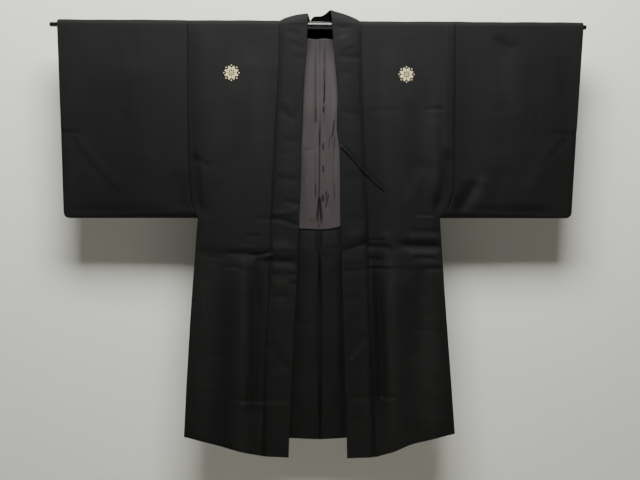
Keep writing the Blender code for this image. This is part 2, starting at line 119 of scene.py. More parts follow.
# %% Mesh helpers
def grid_quads(rows, columns):
    """Quads of a grid of rows x columns points that are numbered row by row."""
    corner = np.arange(rows - 1)[:, None] * columns + np.arange(columns - 1)[None, :]
    quads = np.stack([corner, corner + 1, corner + columns + 1, corner + columns], axis=-1)
    return quads.reshape(-1, 4)


def add_mesh(name, points, faces, finish):
    """Makes a smooth-shaded object at the origin from points in millimetres and a face list."""
    mesh = bpy.data.meshes.new(name)
    mesh.from_pydata((points * MM).tolist(), [], faces)
    mesh.shade_smooth()
    mesh.materials.append(finish)
    made = bpy.data.objects.new(name, mesh)
    bpy.context.scene.collection.objects.link(made)
    return made


# %% Node helpers
def add_node(tree, kind, inputs=None, **settings):
    """A new node with settings for its own fields and values for its sockets."""
    made = tree.nodes.new(kind)
    for name, value in settings.items():
        setattr(made, name, value)
    for name, value in (inputs or {}).items():
        made.inputs[name].default_value = value
    return made


def join(tree, source, target):
    """Links an output to an input."""
    tree.links.new(source, target)


def calculate(tree, operation, first, second=None):
    """A Math node's output. Each value is a number or another node's output."""
    made = add_node(tree, "ShaderNodeMath", operation=operation)
    for socket, value in zip(made.inputs, (first, second)):
        if isinstance(value, (int, float)):
            socket.default_value = value
        elif value is not None:
            join(tree, value, socket)
    return made.outputs[0]


def new_group(name, inputs, outputs):
    """An empty node group with named sockets, and its input and output nodes."""
    group = bpy.data.node_groups.new(name, "ShaderNodeTree")
    for label, kind, value in inputs:
        socket = group.interface.new_socket(label, in_out="INPUT", socket_type=kind)
        if value is not None:
            socket.default_value = value
    for label, kind in outputs:
        group.interface.new_socket(label, in_out="OUTPUT", socket_type=kind)
    return group, group.nodes.new("NodeGroupInput"), group.nodes.new("NodeGroupOutput")


# %% Helpers for the finishes
def new_finish(name, values):
    """A material, its node tree, and its Principled shader with constants on some sockets."""
    finish = bpy.data.materials.new(name)
    finish.use_nodes = True
    shader = finish.node_tree.nodes["Principled BSDF"]
    for label, value in values.items():
        shader.inputs[label].default_value = value
    return finish, finish.node_tree, shader


def object_place(tree):
    """Object coordinates, so that a pattern stays with its piece."""
    return add_node(tree, "ShaderNodeTexCoord").outputs["Object"]


def noise(tree, scale, detail, at=None):
    """A Noise texture's shade, in Object coordinates where no other place is given."""
    texture = add_node(tree, "ShaderNodeTexNoise", {"Scale": scale, "Detail": detail})
    join(tree, object_place(tree) if at is None else at, texture.inputs["Vector"])
    return texture.outputs["Fac"]


def use_group(tree, group, label, value):
    """A group's node in Object coordinates, with a value on one of its sockets."""
    made = add_node(tree, "ShaderNodeGroup", {label: value}, node_tree=group)
    join(tree, object_place(tree), made.inputs["Place"])
    return made


def scaled(tree, source, factor, offset):
    """factor * source + offset."""
    return calculate(tree, "ADD", calculate(tree, "MULTIPLY", source, factor), offset)


def mixed(tree, first, second, share):
    """share * first + (1 - share) * second."""
    return scaled(tree, first, share, calculate(tree, "MULTIPLY", second, 1 - share))


def ramp_between(tree, source, *stops):
    """The colour of a ramp between two stops, each a position and a colour."""
    ramp = add_node(tree, "ShaderNodeValToRGB")
    for element, (position, colour) in zip(ramp.color_ramp.elements, stops):
        element.position = position
        element.color = (*colour, 1)
    join(tree, source, ramp.inputs["Fac"])
    return ramp.outputs["Color"]


def add_bump(tree, shader, height, strength, depth_mm):
    """Raises the shader's surface by a height, up to a depth in millimetres."""
    bump = add_node(tree, "ShaderNodeBump", {"Strength": strength, "Distance": depth_mm * MM})
    join(tree, height, bump.inputs["Height"])
    join(tree, bump.outputs["Normal"], shader.inputs["Normal"])


# %% Backdrop
WALL_Y = 100.0
FLOOR_Z = -2300.0
SWEEP_RADIUS = 450.0
BACKDROP_HALF = 3600.0
FLOOR_FRONT = -4200.0
WALL_TOP = 1900.0


def backdrop_profile():
    """y and z along the backdrop: level floor, a quarter circle, then the upright wall."""
    angle = np.linspace(0, math.pi / 2, 24)
    bend_y = WALL_Y - SWEEP_RADIUS + SWEEP_RADIUS * np.sin(angle)
    bend_z = FLOOR_Z + SWEEP_RADIUS - SWEEP_RADIUS * np.cos(angle)
    y = np.concatenate([[FLOOR_FRONT], bend_y, [WALL_Y]])
    z = np.concatenate([[FLOOR_Z], bend_z, [WALL_TOP]])
    return y, z


def backdrop_finish():
    """Matt pale paint. Seen from behind, and for the rays that look for a lamp, it is clear."""
    finish, tree, shader = new_finish(
        "backdrop_paint", {"Base Color": (0.84, 0.835, 0.765, 1), "Roughness": 0.95}
    )
    clear = add_node(tree, "ShaderNodeBsdfTransparent")
    side = add_node(tree, "ShaderNodeNewGeometry")
    path = add_node(tree, "ShaderNodeLightPath")
    either = calculate(tree, "MAXIMUM", side.outputs["Backfacing"], path.outputs["Is Shadow Ray"])
    mix = add_node(tree, "ShaderNodeMixShader")
    for socket, source in zip(mix.inputs, (either, shader.outputs["BSDF"], clear.outputs["BSDF"])):
        join(tree, source, socket)
    join(tree, mix.outputs["Shader"], tree.nodes["Material Output"].inputs["Surface"])
    return finish


profile_y, profile_z = backdrop_profile()
ends_x = np.array((-BACKDROP_HALF, BACKDROP_HALF))
sweep = np.stack(np.broadcast_arrays(ends_x, profile_y[:, None], profile_z[:, None]), axis=-1)
quads = grid_quads(*sweep.shape[:2])
backdrop = add_mesh("floor", sweep.reshape(-1, 3), quads.tolist(), backdrop_finish())
print("backdrop normal:", tuple(backdrop.data.polygons[0].normal))

# %% [markdown]
# ## The shape of the hanging cloth
# A haori is cut from straight widths, so its outline needs few numbers: where the collar's fold,
# the collar's seam and the side seam run at each height, how low the hem hangs at each distance
# from the middle, and how far apart the front and the back hang. A depth table beats a cloth
# simulation here, because the coat hangs at rest and each fold has a known place.

# %% Sizes of the cut
CLOTH = 1.5
COLLAR_CLOTH = 2.4
LINING_CLOTH = 1.2
SEAM_GAP = 0.3
ROD_RADIUS = 9.5
OVER_ROD = ROD_RADIUS + SEAM_GAP + CLOTH / 2
NECK_HALF = 94.0
NECK_CORNER_X = 70.0
NECK_CORNER_TOP = -10.0
NECK_DEPTH = -28.5
ARMHOLE_X = 310.0
SLEEVE_DROP = 445.0
CUFF_OPENING_LOW = -248.0
SLEEVE_CORNER = 12.0
SLEEVE_SLIM_REACH = 260.0

SleeveEnd = namedtuple("SleeveEnd", "top low")
SLEEVE_END = {"left": SleeveEnd(603, 589), "right": SleeveEnd(613, 586)}

Line = namedtuple("Line", "z left_fold left_seam left_side right_fold right_seam right_side")
LINES = (
    Line(0, 28, 94, 304.5, 27, 94, 312.5),
    Line(-35, 30, 93, 304.5, 30, 94, 312.5),
    Line(-70, 32, 92.5, 304.5, 33, 94.5, 312.5),
    Line(-150, 38, 96.5, 304, 41, 96, 312.5),
    Line(-240, 41, 102, 303, 38, 99, 311.5),
    Line(-285, 43, 104, 302.5, 45, 101, 311),
    Line(-380, 45, 109, 299.5, 46, 105, 309),
    Line(-420, 47, 110.5, 293, 46, 108, 298),
    Line(-445, 48, 112, 281, 46, 109, 277),
    Line(-510, 51, 114, 286, 48, 110, 281),
    Line(-610, 54, 117.5, 293, 51, 111, 287),
    Line(-680, 58, 120.5, 298, 53, 114, 292),
    Line(-820, 65, 126, 306, 57, 121, 302),
    Line(-950, 71, 130, 312, 61, 124, 311),
    Line(-1010, 73, 131, 314, 62, 125, 313),
)

Hem = namedtuple("Hem", "x left right")
FRONT_HEM = (
    Hem(60, -996, -998),
    Hem(130, -992, -995),
    Hem(165, -986, -985),
    Hem(206, -976, -969),
    Hem(260, -960, -955),
    Hem(312, -947, -943),
)
BACK_HEM = (
    Hem(0, -963, -963),
    Hem(120, -959, -959),
    Hem(312, -947, -943),
)

Gap = namedtuple("Gap", "z body cuff")
GAPS = (
    Gap(0, OVER_ROD, OVER_ROD),
    Gap(-60, 11.0, 9.2),
    Gap(-150, 11.5, 7.2),
    Gap(-250, 12.0, 5.2),
    Gap(-445, 13.0, 3.4),
    Gap(-700, 16.0, 3.4),
    Gap(-1010, 21.0, 3.4),
)


# %% Shapes that many formulas share
def smooth(share):
    """0 below 0, 1 above 1, and the S-curve 3 s^2 - 2 s^3 between."""
    share = np.clip(share, 0, 1)
    return share * share * (3 - 2 * share)


def between(value, high, high_ease, low, low_ease):
    """1 between two limits, and an S-curve down to 0 at each, over a length of its own."""
    return smooth((high - value) / high_ease) * smooth((value - low) / low_ease)


def bell(distance, reach):
    """exp(-(distance / reach)^2): 1 on a line, and nearly 0 at twice the reach."""
    return np.exp(-((distance / reach) ** 2))


def blend(start, end, share):
    """The share of the way from start to end: (1 - s) start + s end."""
    return (1 - share) * start + share * end


# %% Read the tables
def column(table, name, key, value):
    """The named column of a table, read in straight lines between its rows."""
    keys = np.array([getattr(row, key) for row in table], float)
    values = np.array([getattr(row, name) for row in table], float)
    order = np.argsort(keys)
    return np.interp(value, keys[order], values[order])


def line(side, name, z):
    """Distance of a seam, fold or edge from the centre line at the height z."""
    return column(LINES, f"{side}_{name}", "z", z)


def half_gap(x, z):
    """Half the distance between front and back: the body's, easing to the cuff's along a sleeve."""
    share = smooth((np.abs(x) - ARMHOLE_X) / SLEEVE_SLIM_REACH)
    return blend(column(GAPS, "body", "z", z), column(GAPS, "cuff", "z", z), share)


def neck_z(x):
    """The neck seam's height at the back: level, with a quarter ellipse at each end."""
    reach = NECK_HALF - NECK_CORNER_X
    share = np.clip((np.abs(x) - NECK_CORNER_X) / reach, 0, 1)
    return NECK_CORNER_TOP + (NECK_DEPTH - NECK_CORNER_TOP) * np.sqrt(1 - share**2)


print("from the rod to the hem at the back:", -BACK_HEM[0].left, "mm")

# %% [markdown]
# ## Folds and creases
# Three things mark this cloth. Broad upright folds fall from chest to hem. Level creases at the
# waist and near the hem are left from the years it lay folded in a drawer, which is how a formal
# coat is kept. Short pulls and puckers sit at the armholes and along the collar, where two
# layers of cloth are sewn together. All are the same kind of mark: a bell-shaped push along a
# line. Each row gives its two ends, its width and depth, how much one flank is steeper than the
# other, and how far its middle bows sideways. A positive depth stands out of the cloth.

# %% The folds, as the solids have them
Crease = namedtuple("Crease", "x_top z_top x_low z_low width depth lean bow", defaults=(0, 0))


def creases(*rows):
    """A table of creases, whose rows have Crease's columns in their order."""
    return tuple(Crease(*row) for row in rows)


FRONT_FOLDS = creases(
    (-148, -520, -152, -930, 15, -4.0),
    (-176, -500, -181, -1100, 15, 3.0),
    (-212, -560, -222, -1100, 18, -2.5),
    (-258, -520, -272, -1100, 20, 2.5),
    (-118, -560, -118, -1100, 12, 2.0),
    (134, -500, 141, -930, 14, -5.0),
    (168, -490, 176, -1100, 16, 3.5),
    (206, -560, 222, -1100, 18, -2.5),
    (250, -520, 268, -1100, 20, 2.5),
    (104, -520, 112, -1100, 12, 2.5),
    (-300, -526, -110, -530, 12, -1.6),
    (300, -512, 60, -506, 12, -1.4),
    (-150, -40, -240, -330, 34, 1.6),
    (150, -40, 232, -330, 34, 1.6),
    (-570, -258, -458, -396, 15, 1.2),
    (560, -262, 470, -400, 18, 1.2),
    (-420, -60, -400, -360, 40, 1.4),
    (430, -60, 410, -360, 40, 1.4),
)
BACK_FOLDS = creases(
    (-60, -480, -64, -1100, 20, 3.0),
    (62, -500, 68, -1100, 22, 3.5),
    (-128, -430, -140, -1100, 24, -2.5),
    (134, -450, 140, -1100, 24, -3.0),
    (-212, -520, -236, -1100, 26, 3.0),
    (214, -520, 232, -1100, 26, 3.0),
    (-300, -528, 300, -522, 13, -1.5),
    (-170, -40, -240, -360, 38, 1.6),
    (170, -40, 236, -360, 38, 1.6),
    (-430, -60, -400, -360, 42, 1.5),
    (420, -60, 400, -360, 42, 1.5),
)

# %% Creases of the front of the body
BODY_CREASES = creases(
    # Upright folds, sharper than those of the solids.
    (-140, -575, -148, -930, 10, -2.0, 0.3),
    (-122, -585, -126, -890, 4.5, 0.9),
    (-174, -568, -171, -630, 8, 0.8),
    (-204, -560, -216, -900, 14, -0.8),
    (-236, -640, -246, -930, 12, 0.8),
    (126, -560, 146, -905, 9, -2.6, -0.3, -3),
    (158, -570, 168, -900, 10, 1.1),
    (234, -560, 238, -640, 13, -1.4),
    (262, -640, 280, -940, 13, 0.9),
    (150, -110, 164, -420, 14, 0.9),
    # Level creases at the waist.
    (-156, -447, -100, -450, 4.5, -0.6),
    (-172, -484, -136, -487, 5, -0.7, 0, 1),
    (-190, -513, -142, -516, 6, 0.8),
    (-222, -526, -150, -529, 5, -0.9, 0, -1),
    (-162, -531, -120, -528, 5, -1.5),
    (-132, -528, -108, -519, 5, -1.1, 0, 1),
    (-130, -534, -108, -533, 5, 1.0),
    (-152, -541, -104, -545, 8, -1.3, 0, 2),
    (-268, -536, -220, -538, 6, -0.6, 0, 1),
    (-264, -549, -232, -552, 5, -0.5),
    (-224, -558, -176, -561, 4.5, -0.6, 0, -1),
    (-222, -566, -178, -568, 4.5, 0.35),
    (-190, -548, -144, -551, 11, 1.3, 0, 2),
    (212, -438, 272, -439, 4.5, -0.7),
    (216, -445, 268, -446, 4.5, 0.4),
    (206, -472, 244, -475, 6, -0.7, 0, 1),
    (236, -474, 282, -481, 7, -0.9, 0, -2),
    (198, -489, 276, -492, 7, 1.2, 0, 2),
    (176, -504, 288, -509, 9.5, -2.0, 0.3, 2),
    (102, -511, 168, -517, 6.5, -1.4, 0, -2),
    (106, -496, 154, -497, 3.2, -0.8),
    (146, -478, 173, -520, 10, 1.2),
    (194, -525, 282, -529, 9, 1.2, 0, 2),
    (214, -536, 270, -539, 4.4, -1.2, 0, -1),
    (212, -549, 284, -551, 5, 0.9),
    (108, -539, 148, -542, 7, -1.4),
    (106, -555, 174, -556, 3.4, 0.8),
    (104, -560, 292, -563, 6, -0.5, 0, 1),
    (106, -562, 158, -562, 5.5, -0.9),
    (234, -562, 292, -563, 5.5, -0.9),
    # Level creases near the hem and faint ones between.
    (-204, -862, -112, -866, 5, -0.8, 0, 2),
    (-206, -874, -64, -879, 6.5, 1.0, 0.4, -2),
    (-300, -842, -186, -850, 9, -0.6, 0, 3),
    (-296, -768, -210, -758, 11, -0.5),
    (128, -853, 180, -859, 7, -1.3, 0, 2),
    (134, -865, 180, -868, 6, 0.9),
    (180, -772, 238, -750, 8, -0.7, 0, 2),
    (206, -866, 262, -936, 18, 1.3),
    (196, -700, 284, -706, 9, -0.5, 0, 2),
    (216, -862, 306, -868, 8, -0.6, 0, -2),
    # Pulls below the armholes and at the shoulders.
    (-292, -308, -250, -332, 7, -1.0, 0, -2),
    (-288, -286, -276, -444, 9, -2.2),
    (-232, -360, -262, -452, 13, -0.8, 0, 4),
    (-186, -150, -180, -340, 18, -0.6),
    (-134, -110, -150, -300, 12, 0.6),
    (290, -280, 268, -440, 13, -3.0, 0, -8),
    (262, -210, 246, -330, 17, 1.2),
    (246, -330, 196, -430, 16, 1.3, 0, 5),
    (238, -195, 290, -193, 5, -0.9, 0, -1),
    (104, -197, 196, -196, 6, -0.4, 0, 2),
    (214, -150, 214, -400, 18, -0.9),
)

# %% Creases of the collar
COLLAR_CREASES = creases(
    (-72, -38, -34, -55, 7, -0.8, 0, 2),
    (-66, -72, -34, -82, 7, -0.5),
    (-76, -12, -44, -28, 8, -0.8),
    (-96, -188, -54, -223, 7, -0.9, 0, 3),
    (-88, -174, -54, -196, 10, 0.6),
    (-92, -264, -44, -267, 8, -0.6, 0, 2),
    (-98, -293, -60, -297, 7, -0.4),
    (-104, -336, -54, -339, 11, 0.6, 0, 3),
    (-100, -352, -46, -364, 8, -0.7, 0, -2),
    (-86, -404, -44, -413, 6, -1.1, 0, 2),
    (-116, -436, -42, -424, 8, 1.2, 0.2, 3),
    (-122, -446, -42, -468, 7, -1.4, -0.3, -4),
    (-116, -512, -68, -507, 11, 1.5, 0, 3),
    (-80, -516, -50, -519, 8, 1.0),
    (-116, -540, -52, -545, 9, -1.7, 0, 2),
    (-116, -560, -50, -563, 7, 1.0, 0, -2),
    (-120, -574, -88, -577, 6, -0.7),
    (-80, -576, -48, -575, 5, -0.9),
    (-114, -596, -68, -594, 10, 0.9, 0, 2),
    (-76, -595, -50, -598, 6, -0.9),
    (-118, -630, -70, -626, 8, -0.8, 0, -2),
    (-112, -658, -60, -652, 8, 0.5),
    (-122, -724, -70, -800, 8, -1.2, 0, 4),
    (-104, -712, -62, -770, 11, 0.8),
    (-120, -808, -62, -804, 7, 0.7, 0, 2),
    (-130, -860, -68, -863, 8, -0.6, 0, -2),
    (40, -8, 78, 2, 6, -1.0),
    (50, -24, 66, -56, 13, 1.3),
    (36, -70, 98, -76, 7, -0.8, 0, 2),
    (42, -108, 82, -117, 9, -0.7, 0, -2),
    (44, -194, 100, -209, 8, -0.6, 0, 3),
    (48, -243, 96, -249, 9, 0.5),
    (46, -357, 106, -351, 10, -0.5, 0, 2),
    (48, -447, 108, -453, 10, -0.5),
    (52, -491, 112, -476, 10, 0.9, 0, 3),
    (42, -523, 82, -513, 7, -1.2, 0, -2),
    (70, -515, 114, -500, 6.5, -1.1),
    (46, -543, 110, -537, 9, 0.8, 0, 2),
    (50, -569, 116, -563, 5.5, -0.9, 0, 1),
    (50, -635, 96, -631, 7, -0.5),
    (60, -708, 98, -662, 9, -0.6),
    (66, -784, 112, -722, 6, 0.9, 0, 2),
    (58, -776, 106, -712, 7, -0.8, 0, 2),
    (56, -857, 128, -859, 6, -1.0, 0, 1),
    (60, -913, 118, -906, 9, -0.5),
)

# %% Painted light and shade on the front: lighter and darker bands
FRONT_SHADES = creases(
    # Left panel and collar.
    (-232, -170, -242, -330, 20, 0.12),
    (-190, -150, -196, -330, 16, -0.14),
    (-142, -20, -136, -330, 18, 0.2),
    (-270, -560, -284, -980, 20, 0.05),
    (-222, -590, -232, -980, 24, -0.22),
    (-178, -540, -176, -900, 11, 0.08),
    (-160, -560, -162, -960, 10, -0.2),
    (-137, -620, -139, -970, 5, 0.4),
    (-196, -870, -186, -990, 18, 0.12),
    (-74, -100, -66, -460, 16, 0.12),
    (-62, 20, -60, -210, 30, -0.2),
    # Right panel and collar.
    (160, -40, 162, -960, 16, 0.12),
    (206, -150, 216, -400, 18, -0.2),
    (254, -130, 262, -400, 18, 0.25),
    (134, -540, 141, -960, 11, -0.5),
    (226, -540, 214, -760, 16, -0.2),
    (262, -560, 262, -960, 24, 0.12),
    (112, -140, 118, -540, 24, -0.34),
    (76, -30, 82, -230, 14, -0.3),
    # The waist: painted shade in its creases, painted light between them.
    (-290, -536, -196, -538, 16, -0.3),
    (-224, -527, -148, -529, 5, -0.7),
    (-164, -531, -118, -527, 5, -1.3),
    (-134, -527, -108, -519, 5, -0.8),
    (-154, -541, -104, -545, 9, -1.1),
    (-176, -485, -134, -487, 5, -0.5),
    (-116, -512, -66, -508, 10, 0.45),
    (-118, -540, -48, -545, 9, -1.5),
    (-118, -561, -48, -563, 5, 0.45),
    (-112, -596, -68, -594, 10, 0.35),
    (40, -524, 82, -513, 6, -1.1),
    (68, -515, 114, -500, 6, -1.1),
    (100, -511, 174, -515, 7, -1.2),
    (184, -504, 290, -508, 8.5, -1.0, 0, 2),
    (194, -526, 284, -529, 8, 0.35),
    (212, -537, 272, -539, 6, -0.4),
    (106, -541, 150, -543, 8, -0.45),
    (104, -561, 294, -563, 4.5, -0.5),
    (204, -476, 286, -479, 7, -0.4),
    # Painted shadow beside the tie cord.
    (44, -268, 158, -387, 3.4, -1.4),
    # Armholes and sleeves: painted light and shade.
    (296, -270, 262, -440, 12, -0.7, 0, -6),
    (-296, -270, -268, -440, 12, -0.4, 0, 6),
    (-425, -60, -440, -560, 105, -0.46),
    (-292, 60, -292, -300, 9, -0.2),
    (-270, 60, -262, -200, 14, 0.15),
    (-318, -320, -296, -530, 40, -0.58),
    (318, 60, 319, -460, 20, -0.55),
    (294, 60, 292, -400, 10, 0.4),
    (276, -60, 268, -420, 20, 0.3),
    (322, -330, 284, -530, 34, -0.5),
    (262, -375, 276, -490, 11, -0.4),
    (290, -235, 288, -425, 12, 0.3),
    (222, -620, 226, -1080, 40, 0.38),
    # Along the hem and on the sleeves: painted light and shade.
    (-345, -944, -180, -984, 12, -0.8),
    (345, -940, 180, -984, 10, -0.3),
    (446, -40, 448, -360, 22, 0.16),
    (404, -30, 420, -300, 12, -0.12),
    (404, -26, 458, -50, 12, -0.4),
    (566, -40, 572, -440, 24, -0.2),
    (380, -330, 350, -440, 16, 0.25),
    (340, -420, 560, -430, 12, -0.4),
    (-340, -424, -590, -430, 12, -0.25),
)

# %% Creases of the sleeves and of the back
SLEEVE_CREASES = creases(
    (-584, -246, -446, -408, 10, -1.1, 0.4, 3),
    (-612, -247, -548, -249, 6, -0.8, 0, 1),
    (-470, -203, -440, -206, 7, -0.6),
    (-540, -326, -496, -424, 16, 0.7),
    (-350, -240, -372, -420, 19, -0.6),
    (-330, -330, -318, -436, 14, -1.0),
    (-470, -40, -486, -210, 24, -0.6),
    (-560, -60, -572, -220, 18, 0.6),
    (-600, -424, -330, -429, 12, -0.9, 0, 2),
    (402, -24, 460, -52, 10, -1.2, 0.3, 4),
    (450, -50, 458, -230, 22, 0.9),
    (512, -332, 584, -254, 10, -1.0, 0.3, -3),
    (362, -356, 312, -440, 13, -3.2, 0, -4),
    (386, -344, 356, -436, 15, 1.2),
    (340, -346, 306, -402, 11, 1.0),
    (330, -424, 560, -428, 12, -1.5, 0, 3),
    (532, -247, 620, -251, 6, -0.8, 0, 1),
    (392, -195, 470, -193, 8, -0.4),
    (356, -120, 366, -330, 20, -0.6),
    (430, -330, 400, -420, 16, -0.9),
    (560, -60, 572, -210, 18, -0.7),
)
BACK_CREASES = creases(
    # Level creases at the waist and near the hem, where the coat was folded away.
    (-292, -527, -70, -521, 6, -1.2, 0.3, 2),
    (-60, -520, 120, -524, 6, -0.7, 0, -1),
    (140, -526, 290, -519, 6, -1.3, 0.2, 2),
    (-250, -511, -110, -515, 8, 0.7, 0, -1),
    (96, -539, 286, -542, 7, 0.8, 0, 2),
    (-180, -544, -90, -541, 9, 0.7),
    (-230, -561, -20, -566, 6, -0.8, 0, 1),
    (60, -563, 250, -558, 6, -0.6, 0, -2),
    (-296, -861, -96, -866, 6, -0.9, 0, 2),
    (-60, -867, 84, -864, 7, -0.5),
    (128, -863, 300, -869, 6, -0.9, 0, -2),
    (-210, -878, -60, -881, 8, 0.7, 0, 2),
    (110, -879, 236, -876, 8, 0.6),
    # Upright folds of the skirt.
    (-30, -560, -38, -930, 10, -1.6),
    (40, -590, 46, -880, 9, -1.5, 0, 3),
    (-96, -575, -106, -940, 13, 1.1),
    (92, -620, 112, -940, 14, 1.0),
    (-172, -640, -190, -940, 12, -1.4),
    (186, -580, 190, -900, 11, -1.2, 0, -3),
    (-236, -600, -250, -880, 15, 0.8),
    (246, -660, 262, -950, 15, 0.9),
    # Pulls below the armholes.
    (-262, -346, -288, -440, 13, -1.8, 0, 5),
    (258, -372, 290, -446, 11, -2.2, 0, -5),
    (-240, -330, -256, -420, 15, 0.8),
    (-358, -380, -316, -438, 11, -1.6),
    (364, -350, 316, -440, 13, -2.0, 0, 3),
    (340, -340, 312, -398, 12, 0.9),
    # The shoulders and the sleeves.
    (-236, -197, -60, -192, 7, -0.5, 0, 2),
    (70, -190, 200, -194, 7, -0.6, 0, -1),
    (-120, -60, -160, -240, 18, 0.8),
    (110, -70, 168, -210, 16, 0.7),
    (-44, -46, -70, -150, 9, -0.7),
    (34, -44, 50, -190, 8, -0.6),
    (-574, -252, -466, -396, 9, -1.1),
    (530, -310, 574, -260, 8, -0.9),
    (-450, -40, -410, -56, 8, -1.0),
    (404, -110, 420, -330, 18, -0.8),
    (-520, -60, -536, -300, 22, 0.6),
    (-330, -120, -346, -330, 18, -0.6),
    (500, -60, 488, -240, 22, 0.6),
    (-560, -421, -350, -425, 10, -0.8, 0, 2),
    (350, -424, 500, -420, 10, -0.9, 0, -2),
)
print("creases:", len(BODY_CREASES + COLLAR_CREASES + SLEEVE_CREASES + BACK_CREASES))


# %% The shared surfaces
END_SHARE = 0.2
RIPPLE_HEIGHT = 0.7
RIPPLE_FADE = 60.0
BACK_SHIFT = (19, -40)


def relief(table, x, z):
    """How far the creases push the cloth out. With a the distance across a crease's line, bowed
    sideways by a parabola along it, each adds depth * exp(-(a/width)^2) * (1 + lean a/width),
    faded in and out over a fifth of its length at both ends."""
    total = np.zeros(np.broadcast(x, z).shape)
    for row in table:
        run_x = row.x_low - row.x_top
        run_z = row.z_low - row.z_top
        length = math.hypot(run_x, run_z)
        along = ((x - row.x_top) * run_x + (z - row.z_top) * run_z) / length**2
        across = ((x - row.x_top) * run_z - (z - row.z_top) * run_x) / length
        across = (across - 4 * row.bow * along * (1 - along)) / row.width
        ends = smooth(along / END_SHARE) * smooth((1 - along) / END_SHARE)
        total += row.depth * np.exp(-(across**2)) * (1 + row.lean * across) * ends
    return total


def ripple(x, z, size):
    """The silk's slight unevenness: three crossed sine waves of unlike lengths, up to size high."""
    upright = np.sin(x / 23.0 + 1.7 * np.sin(z / 131.0))
    slanted = np.sin(x / 47.0 - z / 83.0 + 0.8)
    level = np.sin(z / 37.0 + 1.3 * np.sin(x / 71.0 + 0.5))
    return size * (0.45 * upright + 0.3 * slanted + 0.25 * level)


def outer_ripple(x, z, shift=(0, 0)):
    """The ripple of the outer silk. It fades out towards the rod, where the cloth lies tight."""
    return smooth(-z / RIPPLE_FADE) * ripple(x + shift[0], z + shift[1], RIPPLE_HEIGHT)


# %% Marks of the seams
SEAM_GROOVE = 0.5
SEAM_GROOVE_WIDTH = 3.2
SEAM_STRIP = 13.5
SEAM_STRIP_RISE = 0.5
SEAM_LOW = -440.0
COLLAR_SEAM_GROOVE = 0.7
COLLAR_SEAM_WIDTH = 4.5
CREASE_CARRY = 7.0


def seam_distance(name, x, z):
    """How far x lies outside the named seam, on whichever side of the coat it is."""
    return np.abs(x) - np.where(np.asarray(x) < 0, line("left", name, z), line("right", name, z))


def armhole_span(z):
    """1 along the armhole's seam, easing to 0 at the rod and at the sleeve's bottom."""
    return between(z, 0, 25, SEAM_LOW, 30)


def armhole_mark(x, z):
    """The armhole's seam: a groove along the seam line, and on its body side a strip a little
    proud of the panel, where the seam allowance lies under the silk."""
    beyond = seam_distance("side", x, z)
    groove = SEAM_GROOVE * bell(beyond, SEAM_GROOVE_WIDTH)
    strip = between(beyond, 1.5, 2, -SEAM_STRIP, 2.5)
    return armhole_span(z) * (strip * SEAM_STRIP_RISE - groove)


def collar_mark(x, z):
    """The collar's seam, a soft groove, and the collar's creases, which run a little way past it
    into the panel."""
    beyond = seam_distance("seam", x, z)
    groove = COLLAR_SEAM_GROOVE * bell(beyond, COLLAR_SEAM_WIDTH) * smooth(-z / 30)
    carried = (1 - smooth(beyond / CREASE_CARRY)) * smooth(-z / 8)
    return relief(COLLAR_CREASES, x, z) * carried - groove


# %% Front and back
def front_marks(x, z):
    """Everything that stands out of the front or sinks into it, but for the silk's ripple."""
    folds = relief(FRONT_FOLDS + BODY_CREASES + SLEEVE_CREASES, x, z)
    return folds + armhole_mark(x, z) + collar_mark(x, z)


def front_y(x, z):
    """Depth of the middle of the front cloth."""
    return -(half_gap(x, z) + front_marks(x, z) + outer_ripple(x, z))


def back_y(x, z):
    """Depth of the middle of the back cloth."""
    marks = relief(BACK_FOLDS + BACK_CREASES, x, z) + armhole_mark(x, z)
    return half_gap(x, z) + marks + outer_ripple(x, z, BACK_SHIFT)


# %% Painted light and shade on the silk
TONE_PER_MM = 0.10
TONE_REACH = (-4, 3)


def front_tone(x, z):
    """How light the silk's colour is painted there: exp of the painted light and shade of its bands
    and seams, and of its folds, with painted light on their ridges and painted shade in their
    valleys."""
    wear_and_painted_shade = relief(FRONT_SHADES, x, z) + seam_shade(x, z)
    return np.exp(wear_and_painted_shade + TONE_PER_MM * np.clip(front_marks(x, z), *TONE_REACH))


def seam_shade(x, z):
    """Painted shade: a dark line in each seam and a darker strip beside the armhole."""
    past = seam_distance("seam", x, z)
    at_collar = (0.9 * bell(past, 3.0) + 0.25 * bell(past + 9, 9)) * smooth(-z / 30)
    beyond = seam_distance("side", x, z)
    at_armhole = 0.9 * bell(beyond, 2.4) + 0.5 * bell(beyond + 14, 3.5)
    near = 0.45 * between(beyond, 4, 8, -52, 40)
    return -at_collar - armhole_span(z) * (at_armhole + near)


def back_tone(x, z):
    """Painted light and shade on the back, from its folds only: ridges lighter, valleys darker."""
    marks = relief(BACK_FOLDS + BACK_CREASES, x, z)
    return np.exp(TONE_PER_MM * np.clip(marks, *TONE_REACH))


print("front at the chest:", round(float(front_y(200.0, -100.0)), 2), "mm")

# %% [markdown]
# ## From a sheet to cloth
# Blender's Solidify modifier would thicken a sheet too, but it leaves a square rim. Cloth that is
# turned in at a seam has a round edge, so each wall here is worked out: the sheet is copied half
# a thickness to each side along its normals, both copies are drawn back a little at the border,
# and a third row of points, left on the border itself, closes the wall as a rounded nose.


# %% A cloth wall
RIM_PULL = 0.8


def sheet_normals(points, quads):
    """Unit normals of a sheet: a quad's normal is the cross product of its diagonals, and a
    point takes the sum of those round it."""
    corners = points[quads]
    across = np.cross(corners[:, 2] - corners[:, 0], corners[:, 3] - corners[:, 1])
    total = np.zeros_like(points)
    for corner in range(4):
        np.add.at(total, quads[:, corner], across)
    return total / np.maximum(np.linalg.norm(total, axis=1, keepdims=True), 1e-9)


def border_edges(quads):
    """The edges that only one quad has, each in the direction in which that quad runs."""
    edges = np.concatenate([quads[:, [corner, (corner + 1) % 4]] for corner in range(4)])
    either_way = np.sort(edges, axis=1)
    _, first, uses = np.unique(either_way, axis=0, return_index=True, return_counts=True)
    return edges[first[uses == 1]]


